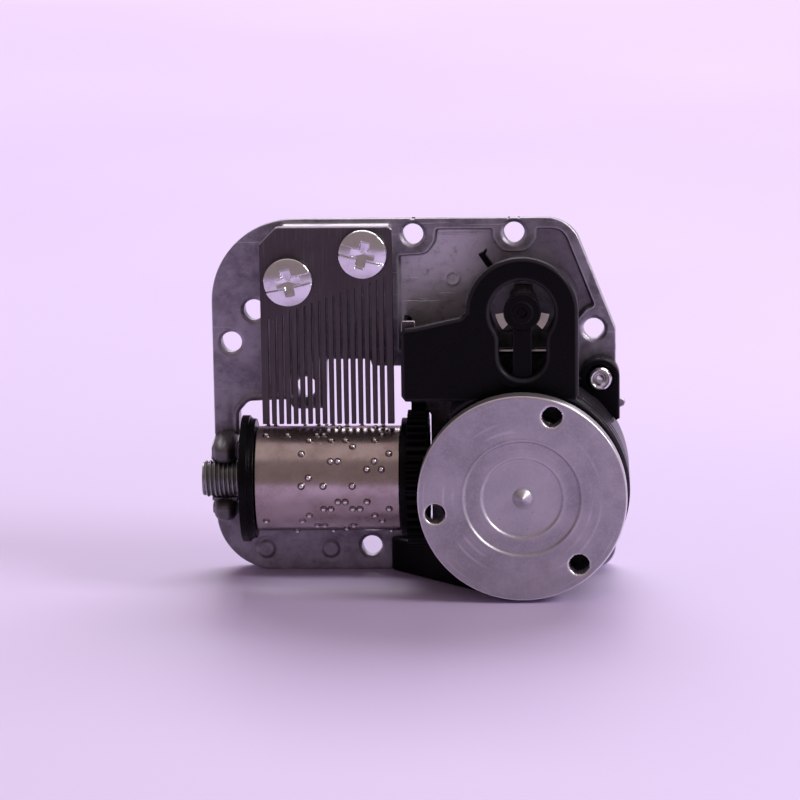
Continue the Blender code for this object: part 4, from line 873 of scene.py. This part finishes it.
def make_screw(name, node, turn):
    """Pan-head screw: a dome with a straight slot right across and a cross recess in the middle."""
    low, high = extent(node)
    centre = ((low[0] + high[0]) / 2, (low[2] + high[2]) / 2)
    head_r, head_top = (high[0] - low[0]) / 2, low[1]
    seat = COMB_LOW[1] - 0.05
    c, s = math.cos(math.radians(turn)), math.sin(math.radians(turn))

    def turned_uv(u, v):
        du, dv = u - centre[0], v - centre[1]
        return c * du + s * dv, -s * du + c * dv

    def front(u, v):
        p, q = turned_uv(u, v)
        r = np.hypot(p, q) / head_r
        dome = head_top + 0.55 * r ** 2.6
        slot = 0.52 * smooth((0.72 - np.abs(q)) / 0.14)
        arm = np.maximum(smooth((0.62 - np.abs(q)) / 0.16) * smooth((1.75 - np.abs(p)) / 0.25),
                         smooth((0.62 - np.abs(p)) / 0.16) * smooth((1.75 - np.abs(q)) / 0.25))
        deep = 0.42 + 0.8 * (1 - np.clip(np.hypot(p, q) / 1.75, 0, 1))
        return np.minimum(dome + np.maximum(slot, arm * deep), seat - 0.2)

    def wear(u, v):
        q = turned_uv(u, v)[1]
        return 0.3 * smooth(1 - np.abs(np.abs(q) - 0.5) / 0.2)

    head = slab(circle(centre, head_r), about(centre, head_r, 0.1), 0.06, front, level(seat),
                edge=0.28, arcs=4, wear=wear)
    shank_r, neck = 1.45, seat + 0.02
    shank = turned([(neck, 0), (neck, shank_r), (high[1] - 0.2, shank_r), (high[1], 1.2), (high[1], 0)],
                   (centre[0], 0, centre[1]), "Y", 40)
    return built(name, [head, shank], [node], "plate", crease=30)


# ------------------------------------------------------------------ cylinder group

PINS, BEATS, SPARSE_TRACKS = 88, 40, 5


def pin_places():
    """The (track, beat) of every pin, drawn from one seed, never close together on a track."""
    rng = random.Random(18)
    used = []
    while len(used) < PINS:
        track = rng.randrange(TEETH)
        beat = rng.randrange(BEATS)
        if track < SPARSE_TRACKS and beat % 4:
            continue
        if any(t == track and min((b - beat) % BEATS, (beat - b) % BEATS) < 3 for t, b in used):
            continue
        used.append((track, beat))
    return np.array(used)


def make_cylinder():
    """Sleeve with round-topped pins: pin = place + reach along the spoke + ring about it."""
    left, right = SLEEVE_LOW[0], SLEEVE_HIGH[0]
    bore, radius, pitch = 5.6, 6.53, 0.9
    sleeve = lathe([(left, bore), (left, radius), (right, radius), (right, bore)], 0.12, 3, AXLE, "X", 160)
    places = pin_places()
    x = (left + right) / 2 + (places[:, 0] - (TEETH - 1) / 2) * pitch
    spoke = TAU * (places[:, 1] + 0.5) / BEATS
    ring_t = np.linspace(0, TAU, 10, endpoint=False)
    reach = np.array([-0.35, -0.02, 0.05, 0.0, 0.05, 0.26, 0.33, 0.35]) + radius
    width = np.array([0.50, 0.50, 0.43, 0.31, 0.25, 0.235, 0.15, 0.0])
    out = np.stack([np.cos(spoke), np.sin(spoke)], -1)
    side = np.stack([-out[:, 1], out[:, 0]], -1)
    cos_t, sin_t = np.cos(ring_t), np.sin(ring_t)
    px = x[:, None, None] + width[None, None] * cos_t[None, :, None]
    along = side[:, None, None] * (width[None, None] * sin_t[None, :, None])[..., None]
    yz = out[:, None, None] * reach[None, None, :, None] + along
    grid = np.concatenate([px[..., None], yz], -1) + np.array(AXLE)
    patches = [sleeve]
    # Per ring of each pin: -1 paints shade round its foot, and the upper rings are lighter.
    pin_foot_shade_and_light_top = np.tile(np.array([0.0, -1.0, -1.0, -1.0, 0.2, 1.0, 1.0, 1.0]), len(ring_t))
    for one in grid:
        points, faces = net(one, True)
        cap = [[k * len(reach) for k in range(len(ring_t))]]
        patches.append((points, faces.tolist() + cap, pin_foot_shade_and_light_top))
    return built("pinned_cylinder", patches, ["cylinder"], "cylinder", crease=40)


def make_end_cap():
    """Moulded end cap: a proud lip, a groove and a shoulder against the sleeve."""
    lip, left, right, stop = (CAP_HIGH[2] - CAP_LOW[2]) / 2, CAP_LOW[0], CAP_HIGH[0], SLEEVE_LOW[0] - 0.1
    cap = lathe([(left, 0.9), (left, 3.0), (left + 0.25, 3.4), (left + 0.25, lip - 1.6),
                 (left, lip - 1.3), (left, lip), (left + 0.95, lip), (left + 1.05, lip - 0.28),
                 (left + 1.25, lip - 0.28), (left + 1.3, lip - 0.42), (stop, lip - 0.42), (stop, 5.4),
                 (right, 5.4), (right, 0.9)], 0.09, 3, AXLE, "X", 140)
    return built("cylinder_cap", [cap], ["cylinder_end_cap"], "cylinder")


def tooth_radius(teeth, root, tip, inner):
    """Radius of a gear at angle t: a ramp from root to tip over each tooth's flank.

    Only points further out than inner are moved, in the share that they stand above it.
    """
    top_share, root_share = 0.24, 0.62

    def radius_at(along, radius, t):
        turn = ((t - math.pi / 2) * teeth / TAU + 0.5) % 1.0 - 0.5
        high = np.clip((root_share / 2 - np.abs(turn)) / ((root_share - top_share) / 2), 0, 1)
        rim = root + (tip - root) * high
        share = np.clip((radius - inner) / (tip - inner), 0, 1)
        return np.where(radius > inner, inner + (rim - inner) * share, radius)

    return radius_at


def make_cylinder_gear():
    """Large moulded gear with a flange that carries the sleeve."""
    left, right, stop = GEAR_LOW[0], GEAR_HIGH[0], SLEEVE_HIGH[0] + 0.1
    teeth, root, tip, flange_r = 41, 7.8, 8.5, 7.5
    start, end = -0.65, 1.9
    gear = lathe([(start, 6.8), (start, tip), (end, tip), (end, 6.8)], 0.07, 2, AXLE, "X", teeth * 12,
                 tooth_radius(teeth, root, tip, 7.2))
    body = lathe([(left, 0.9), (left, 5.4), (stop, 5.4), (stop, flange_r), (start + 0.02, flange_r),
                  (start + 0.02, 6.9), (end - 0.3, 6.9), (end - 0.5, 3.2), (right, 3.0), (right, 0.9)],
                 0.1, 3, AXLE, "X", 120)
    return built("cylinder_wheel", [gear, body], ["cylinder_gear"], "cylinder")


def make_bush():
    """Threaded bush: radius = crest - depth * triangle of (along - pitch * angle / turn)."""
    low, high = extent("bearing_bush")
    crest = (high[2] - low[2]) / 2
    pitch, depth = 0.55, 0.26

    def thread(along, radius, t):
        phase = ((along - low[0]) / pitch - t / TAU) % 1.0
        groove = depth * np.abs(2 * phase - 1) ** 1.4
        fade = smooth((along - low[0]) / 0.45) * smooth((high[0] - along) / 0.3)
        cut = radius - groove * (0.25 + 0.75 * fade) - 0.25 * (1 - fade)
        return np.where(radius > crest - 0.01, cut, radius)

    length = np.linspace(low[0], high[0], 97)
    outer = np.stack([length, np.full(len(length), crest)], -1)
    profile = np.concatenate([[(low[0] + 0.9, 0.72), (low[0], 0.78), (low[0], 1.2)], outer,
                              [(high[0], 1.0), (high[0] - 0.4, 0.9)]])
    rub = np.tile(np.concatenate([[0, 0, 0], np.full(len(length), 0.35), [0, 0]]), 72)
    points, faces = turned(profile, AXLE, "X", 72, loop=True, radius_at=thread)
    return built("threaded_bush", [(points, faces, rub)], ["bearing_bush"], "plate", crease=55)


# ------------------------------------------------------------------ turntable

def make_turntable():
    """Disc with a bright chamfer, two turned steps, a cone in the middle and three holes."""
    low, high = extent("turntable")
    radius = (high[0] - low[0]) / 2
    outer_ring, inner_ring, cone = radius * 0.56, radius * 0.39, 1.22
    hole_r, hole_out = 1.22, 10.8
    spots = [DRUM + hole_out * np.array([math.cos(a), math.sin(a)])
             for a in np.radians([70.0, 190.0, 310.0])]
    front_y, step, slope, chamfer = low[1], 0.26, 0.2, 0.34

    def holes(u, v):
        return np.minimum.reduce([disc(u, v, spot, hole_r) for spot in spots])

    def shape(u, v):
        return np.maximum(disc(u, v, DRUM, radius), -holes(u, v))

    def front(u, v):
        r = disc(u, v, DRUM, 0)
        w = front_y + step * smooth((outer_ring - r) / slope) + step * smooth((inner_ring - r) / slope)
        w = w - 0.05 * ridge(r - outer_ring - 0.14, 0.13)
        w = w - 0.035 * ridge(r - inner_ring - 0.14, 0.13)
        peak = np.clip((cone - r) / cone, 0, 1)
        w = w - 1.0 * peak + 0.06 * ridge(r - cone, 0.15)
        return w + 0.22 * smooth((chamfer - holes(u, v)) / chamfer)

    def wear(u, v):
        r = disc(u, v, DRUM, 0)
        lines = np.minimum(np.abs(r - outer_ring - 0.05), np.abs(r - inner_ring - 0.05))
        return 0.2 * smooth(1 - lines / 0.22) + 1.0 * smooth(1 - holes(u, v) / 0.42)

    rings = (outer_ring, outer_ring - slope, inner_ring, inner_ring - slope, cone)
    skin = slab(shape, about(DRUM, radius, 0.3), 0.135, front, level(high[1]), edge=0.24, wear=wear,
                lines=(*(circle(DRUM, size) for size in rings), further(holes, -chamfer)))
    return built("turntable_disc", [skin], ["turntable"], "drum", crease=60)


# ------------------------------------------------------------------ housing, bridge, fan, lever

def keyhole(u, v):
    """Round hole over the governor with a wide slot below it, blended into one outline."""
    round_part = disc(u, v, GOVERNOR, 3.95)
    slot = capsule(u, v, GOVERNOR + [0, -5.3], GOVERNOR + [0, -2.0], 2.9)
    return blended(slot, round_part, 0.5)


def housing_shape(u, v):
    """Arm, governor tower and spring skirt as one outline."""
    skirt = np.maximum(disc(u, v, DRUM, SKIRT_R), DRUM[0] - 9.0 - u)
    trunk = bar(u, v, (TOWER_X - TOWER_R, DRUM[1]), (TOWER_X + TOWER_R, TOWER_Z))
    tower = np.maximum(np.minimum(disc(u, v, GOVERNOR, TOWER_R), trunk), HOUSE_LEDGE - v)
    return np.minimum(np.minimum(skirt, tower), polygon(u, v, ARM))


HOUSE_LEDGE = FIRST_Z - 0.7
ARM = rounded([(ARM_LEFT, HOUSE_LEDGE, 0.5), (TOWER_X, HOUSE_LEDGE, 0), (TOWER_X, TOWER_Z + 1.0, 0),
               (TOWER_X - TOWER_R, TOWER_Z + 0.3, 0), (TOWER_X - TOWER_R - 0.6, TOWER_Z - 0.5, 0.6),
               (0.7, TOWER_Z - 1.75, 0.3), (ARM_LEFT, TOWER_Z - 1.95, 0.3)], 0.3, 5, loop=True)


def make_housing():
    """Moulded cover: a thin front on walls that reach the plate, with its openings."""
    back_y, wall_t, drum_hole = HOUSE_HIGH[1], 0.9, 9.7

    def shape(u, v):
        opened = np.minimum(keyhole(u, v), disc(u, v, DRUM, drum_hole))
        return np.maximum(housing_shape(u, v), -opened)

    def front(u, v):
        lip = 0.22 * smooth(1 - keyhole(u, v) / 0.5)
        mark, ring = disc(u, v, (5.2, FIRST_Z + 0.6), 0.55), disc(u, v, (12.6, FIRST_Z + 3.4), 2.2)
        return HOUSE_FRONT + lip - 0.05 * ridge(mark, 0.12) - 0.05 * ridge(ring, 0.12)

    def back(u, v):
        deep = smooth((-housing_shape(u, v) - wall_t) / 0.25)
        return back_y + (HOUSE_FRONT + wall_t - back_y) * deep

    def upper(u, v):
        """The outline, but far away for the skirt, whose walls stay straight."""
        return np.where(disc(u, v, DRUM, SKIRT_R + 0.05) < 0, -99.0, housing_shape(u, v))

    def wear(u, v):
        return 0.8 * smooth(1 - np.abs(keyhole(u, v) - 0.2) / 0.3)

    skin = slab(shape, ((ARM_LEFT - 0.3, HOUSE_HIGH[0] + 0.3), (-0.3, HOUSE_HIGH[2] + 0.3)), 0.17,
                front, back, edge=0.5, arcs=5, wear=wear,
                place=leaned(upper, 0.215, HOUSE_FRONT + 1.2, 9.0),
                lines=(further(housing_shape, wall_t), further(housing_shape, wall_t + 0.25),
                       further(keyhole, -0.55)),
                wall=((0.0, 1.5), (-0.28, 1.62), (-0.28, 2.15), (0.0, 2.27), (0.0, 3.4), (-0.22, 3.5),
                      (-0.22, 3.9), (0.0, 4.0)))
    left, right, top, wheel_room = GEAR_LOW[0] - 0.4, DRUM[0] - 4.7, 4.3, 11.95

    def foot(u, v):
        block = bar(u, v, (left, 0.05), (right, top), 0.25)
        return np.maximum(block, -disc(u, v, DRUM, wheel_room))

    def foot_front(u, v):
        return -0.6 - 11.6 * np.clip((u - left) / (right - left), 0, 1)

    block = slab(foot, ((left - 0.2, right + 0.2), (-0.1, top + 0.2)), 0.2, foot_front, level(-0.1))
    return built("train_cover", [skin, block], ["gear_housing"], "plate", crease=38)


def make_arm_tab():
    """Small pressed tab that stands up behind the top of the arm's free end."""
    def shape(u, v):
        return bar(u, v, (ARM_LEFT + 0.05, TOWER_Z - 2.9), (ARM_LEFT + 1.75, TOWER_Z - 1.15), 0.15)

    skin = slab(shape, ((ARM_LEFT - 0.8, ARM_LEFT + 1.7), (TOWER_Z - 3.1, TOWER_Z - 0.6)), 0.08,
                level(HOUSE_FRONT + 1.4), level(HOUSE_FRONT + 2.0), edge=0.1)
    return piece("arm_tab", [skin], FINISH["comb_steel"], "comb_steel", "plate")


def make_ear():
    """Ear of the spring case: round boss running down beside the skirt."""
    low, high = extent("spring_case_ear")
    low[2] -= 1.6
    boss_r, cup_r = 2.4, 1.75

    def shape(u, v):
        tail = bar(u, v, (EAR[0] - 3.0, low[2]), (high[0], EAR[1]), 0.2)
        return np.maximum(np.minimum(disc(u, v, EAR, boss_r), tail), -disc(u, v, DRUM, SKIRT_R + 0.1))

    def front(u, v):
        return low[1] + 0.25 * smooth(-disc(u, v, EAR, cup_r) / 0.2)

    skin = slab(shape, around(low, high, 0.2), 0.1, front, level(high[1]), edge=0.25,
                lines=(circle(EAR, cup_r),))
    return built("case_ear", [skin], ["spring_case_ear"], "plate")


def make_rivet():
    """Tubular rivet rolled over into a bright cup."""
    low, high = extent("case_rivet")
    top = low[1]
    profile = rounded([(top + 0.95, 0), (top + 0.85, 0.45), (top + 0.30, 0.82), (top, 1.08),
                       (top + 0.04, 1.3), (top + 0.42, 1.45), (top + 0.95, 1.45), (top + 0.95, 0.9),
                       (high[1], 0.9), (high[1], 0)], 0.12, 4)
    return built("case_rivet_cup", [turned(profile, (EAR[0], 0, EAR[1]), "Y", 72)], ["case_rivet"], "plate")


def make_bridge():
    """Governor's front bearing: a round hub with a raised ring, on a bar across the keyhole."""
    low, high = extent("governor_bridge")

    half, hub_r, ring_r, dimple_r = 1.15, 2.3, 1.34, 0.62

    def shape(u, v):
        post = bar(u, v, (TOWER_X - half, low[2]), (TOWER_X + half, TOWER_Z), 0.15)
        return np.minimum(disc(u, v, GOVERNOR, hub_r), post)

    def front(u, v):
        far = disc(u, v, GOVERNOR, 0)
        w = HOUSE_FRONT + 1.0 - 0.35 * smooth((hub_r + 0.05 - far) / 0.15)
        return w - 0.30 * smooth((ring_r - far) / 0.15) + 0.25 * smooth((dimple_r - far) / 0.15)

    def wear(u, v):
        return 0.8 * smooth(1 - np.abs(disc(u, v, GOVERNOR, ring_r - 0.04)) / 0.15)

    skin = slab(shape, around(low, high, 0.1), 0.085, front, level(high[1]), edge=0.15, wear=wear,
                lines=(circle(GOVERNOR, ring_r), circle(GOVERNOR, dimple_r)))
    return built("front_bridge", [skin], ["governor_bridge"], "plate")


def make_fan():
    """Two bent wings on a hub; a wing = radius along its spoke, twisted out of the fan's plane."""
    low, high = extent("governor_fan")
    reach, mid, thick = (high[0] - low[0]) / 2, (low[1] + high[1]) / 2, 0.09
    wings = []
    for side in (1.0, -1.0):
        r, t = np.meshgrid(np.linspace(0.8, reach - 0.05, 16), np.linspace(-1.0, 1.0, 9), indexing="ij")
        swing = math.radians(-27) + 0.30 * t * smooth((r - 0.4) / 1.2)
        x, z = TOWER_X + side * r * np.cos(swing), TOWER_Z + r * np.sin(swing)
        bow = mid + 0.26 * np.sin(t * 1.4) * smooth((r - 1.0) / 1.0)
        front, back = (np.stack([x, bow + k, z], -1) for k in (-thick, thick))
        loop = np.concatenate([front, back[:, ::-1]], 1)
        points, quads = net(loop, False, True)
        count = loop.shape[1]
        half = count // 2
        ends = []
        for row in (0, loop.shape[0] - 1):
            base = row * count
            ends += [[base + k, base + k + 1, base + count - 2 - k, base + count - 1 - k]
                     for k in range(half - 1)]
        wings.append((points, quads.tolist() + ends, np.full(len(points), 0.9)))
    hub = lathe([(low[1], 0.5), (low[1], 1.1), (high[1], 1.1), (high[1], 0.5)], 0.1, 3,
                (TOWER_X, 0, TOWER_Z), "Y", 48)
    built("fan_hub", [hub], ["governor_fan"], "governor")
    return piece("fan_wings", wings, FINISH["bright_nickel"], "bright_nickel", "governor")


def make_lever():
    """Stop lever: a leaning tab with a small hook at its tip."""
    low, high = extent("stop_lever")
    pivot, lean = GOVERNOR + [-3.01, 2.9], math.radians(126)
    out = np.array([math.cos(lean), math.sin(lean)])
    side = np.array([-out[1], out[0]])
    outline = [(-0.55, -0.35), (0.55, -0.35), (0.46, 0.6), (0.40, 3.2), (0.92, 3.52), (0.80, 3.75),
               (0.30, 3.62), (-0.38, 3.75), (-0.46, 0.6)]
    points = rounded([tuple(pivot - side * a + out * b) for a, b in outline], 0.1, 4, loop=True)

    def shape(u, v):
        return np.maximum(polygon(u, v, points), -disc(u, v, pivot, 0.2))

    skin = slab(shape, around(low, high, 0.2), 0.05, level(low[1]), level(high[1]), edge=0.08)
    return built("stop_tab", [skin], ["stop_lever"], "stop_lever")


# ------------------------------------------------------------------ key

def make_key():
    """Butterfly key: two flat rounded wings with a rolled rim on a threaded barrel."""
    low, high = extent("winding_key")
    wing_r, wing_t, wing_out, hub_r = 3.0, 1.0, 5.4, 2.2
    start, end = low[1], high[1]
    middle_y = start + 5.0

    def wing(u, v, side):
        near, far = sorted((side * 1.0, side * wing_out))
        lobe = disc(u, v, (DRUM[0] + side * wing_out, middle_y), wing_r)
        return blended(bar(u, v, (DRUM[0] + near, start + 2.8), (DRUM[0] + far, start + 4.8)), lobe, 1.2)

    def shape(u, v):
        return np.minimum(wing(u, v, 1), wing(u, v, -1))

    def half(u, v):
        d = shape(u, v)
        rim = smooth((d + 0.95) / 0.35)
        return wing_t / 2 * (0.62 + 0.38 * rim)

    def place(u, v, w):
        return u, v, w + DRUM[1]

    skin = slab(shape, ((low[0] - 0.2, high[0] + 0.2), (start - 0.2, end + 0.2)), 0.11,
                lambda u, v: -half(u, v), half, edge=0.22, arcs=4, place=place,
                lines=(further(shape, 0.95), further(shape, 0.6)))
    hub = lathe([(start, 1.2), (start, hub_r), (start + 1.2, hub_r), (start + 1.35, hub_r - 0.22),
                 (start + 1.75, hub_r - 0.22), (start + 1.9, hub_r), (middle_y, hub_r), (middle_y, 0.9),
                 (middle_y - 1.6, 0.9), (middle_y - 1.6, 1.2)], 0.14, 4, (DRUM[0], 0, DRUM[1]), "Y", 80)
    return built("butterfly_key", [skin, hub], ["winding_key"], "arbor")


# ------------------------------------------------------------------ floor, light and camera

FLOOR_A, FLOOR_B, FLOOR_NEAR_SHADE = (0.70, 0.585, 0.85), (0.74, 0.62, 0.88), (0.60, 0.50, 0.74)


def make_floor():
    """One sweep: flat floor that curves up far behind, a profile of (y, z) carried along x."""
    half, near_end, far_end, bend_r, height = 2.4, -1.4, 2.6, 0.5, 1.6
    flat = np.linspace(near_end, far_end, 41)
    bend = np.linspace(0, math.pi / 2, 14)[1:]
    y = np.concatenate([flat, far_end + bend_r * np.sin(bend), [far_end + bend_r]])
    z = np.concatenate([np.zeros(len(flat)), bend_r * (1 - np.cos(bend)), [height]])
    grid = np.stack(np.broadcast_arrays(np.linspace(-half, half, 33)[:, None], y, z), -1)
    points, faces = net(grid)
    mesh = bpy.data.meshes.new("pale_sweep")
    mesh.from_pydata(points.tolist(), [], faces.tolist())
    mesh.shade_smooth()
    p = Paint("pale_floor", Metallic=0.0)
    cloud = p.noise(0.006, 2.0, 0.5)
    # Painted shade: the floor's colour darkens towards the camera.
    near = p.band(p.node("SeparateXYZ", {}, {0: p.mm}, output=1), 150.0, -60.0)
    colour = p.mix(near, p.mix(cloud, FLOOR_A, FLOOR_B), FLOOR_NEAR_SHADE)
    p.set(Base_Color=colour, Roughness=0.42 + 0.1 * (cloud - 0.5))
    mesh.materials.append(p.material)
    floor = bpy.data.objects.new("pale_sweep", mesh)
    bpy.context.scene.collection.objects.link(floor)


def aim(obj, at, towards, roll=0.0):
    """Put an object at a point, looking at another."""
    back = np.array(at, float) - np.array(towards, float)
    back /= np.linalg.norm(back)
    right = np.cross([0.0, 0.0, 1.0], back)
    right /= np.linalg.norm(right)
    up = np.cross(back, right)
    c, s = math.cos(roll), math.sin(roll)
    x, y = c * right - s * up, s * right + c * up
    turn = np.eye(4)
    turn[:3, 0], turn[:3, 1], turn[:3, 2], turn[:3, 3] = x, y, back, at
    obj.matrix_world = Matrix(turn.tolist())


def make_light(name, at, towards, size, power, colour):
    """Soft rectangular lamp."""
    lamp = bpy.data.lights.new(name, "AREA")
    lamp.shape = "RECTANGLE"
    lamp.size, lamp.size_y = size
    lamp.energy = power
    lamp.color = colour
    obj = bpy.data.objects.new(name, lamp)
    bpy.context.scene.collection.objects.link(obj)
    aim(obj, at, towards)


def make_stage():
    """Pale sweep, wide light from above and behind, key from the upper right, dark room in front."""
    make_floor()
    scene = bpy.context.scene
    scene.view_settings.view_transform = "Standard"
    world = bpy.data.worlds.new("studio")
    world.use_nodes = True
    glow = world.node_tree.nodes["Background"].inputs
    glow["Color"].default_value, glow["Strength"].default_value = (0.98, 0.76, 0.78, 1.0), 0.26
    scene.world = world
    object_middle = (0.0, 0.0, 0.022)
    make_light("overhead", (0.15, 1.00, 1.05), (0.0, 0.45, 0.0), (1.5, 0.8), 22.5, (0.97, 0.94, 1.0))
    make_light("key", (0.50, -0.16, 0.36), object_middle, (0.20, 0.20), 2.1, (1.0, 0.97, 1.0))
    make_light("fill", (-0.05, -0.22, 0.85), object_middle, (1.4, 0.7), 0.9, (1.0, 0.84, 0.83))
    camera = bpy.data.cameras.new("camera")
    camera.lens = 177.75
    camera.shift_x, camera.shift_y = -0.0158, 0.012
    camera.clip_start, camera.clip_end = 0.01, 20.0
    obj = bpy.data.objects.new("camera", camera)
    scene.collection.objects.link(obj)
    (pitch, yaw, roll), distance = np.radians([12.5, 2.5, 0.8]), 0.49
    target = (ORIGIN + np.array([0.0, -6.0, 22.0])) * MM
    back = np.array([math.sin(yaw) * math.cos(pitch), -math.cos(yaw) * math.cos(pitch), math.sin(pitch)])
    aim(obj, target + back * distance, target, roll)
    scene.camera = obj


def main():
    for name, obj in frame["nodes"].items():
        for k in range(len(obj.material_slots)):
            obj.material_slots[k].material = FINISH[SLOT_OF[name]]
    # The worm wheel's shaft gets the brighter steel copy: a painted glint.
    frame["nodes"]["worm_wheel_shaft"].material_slots[0].material = SHAFT_GLINT_STEEL
    make_plate()
    make_comb()
    make_screw("comb_screw_head_left", "comb_screw_left", 12)
    make_screw("comb_screw_head_right", "comb_screw_right", -14)
    for make in (make_cylinder, make_end_cap, make_cylinder_gear, make_bush, make_turntable, make_housing,
                 make_arm_tab, make_ear, make_rivet, make_bridge, make_fan, make_lever, make_key, make_stage):
        make()


main()
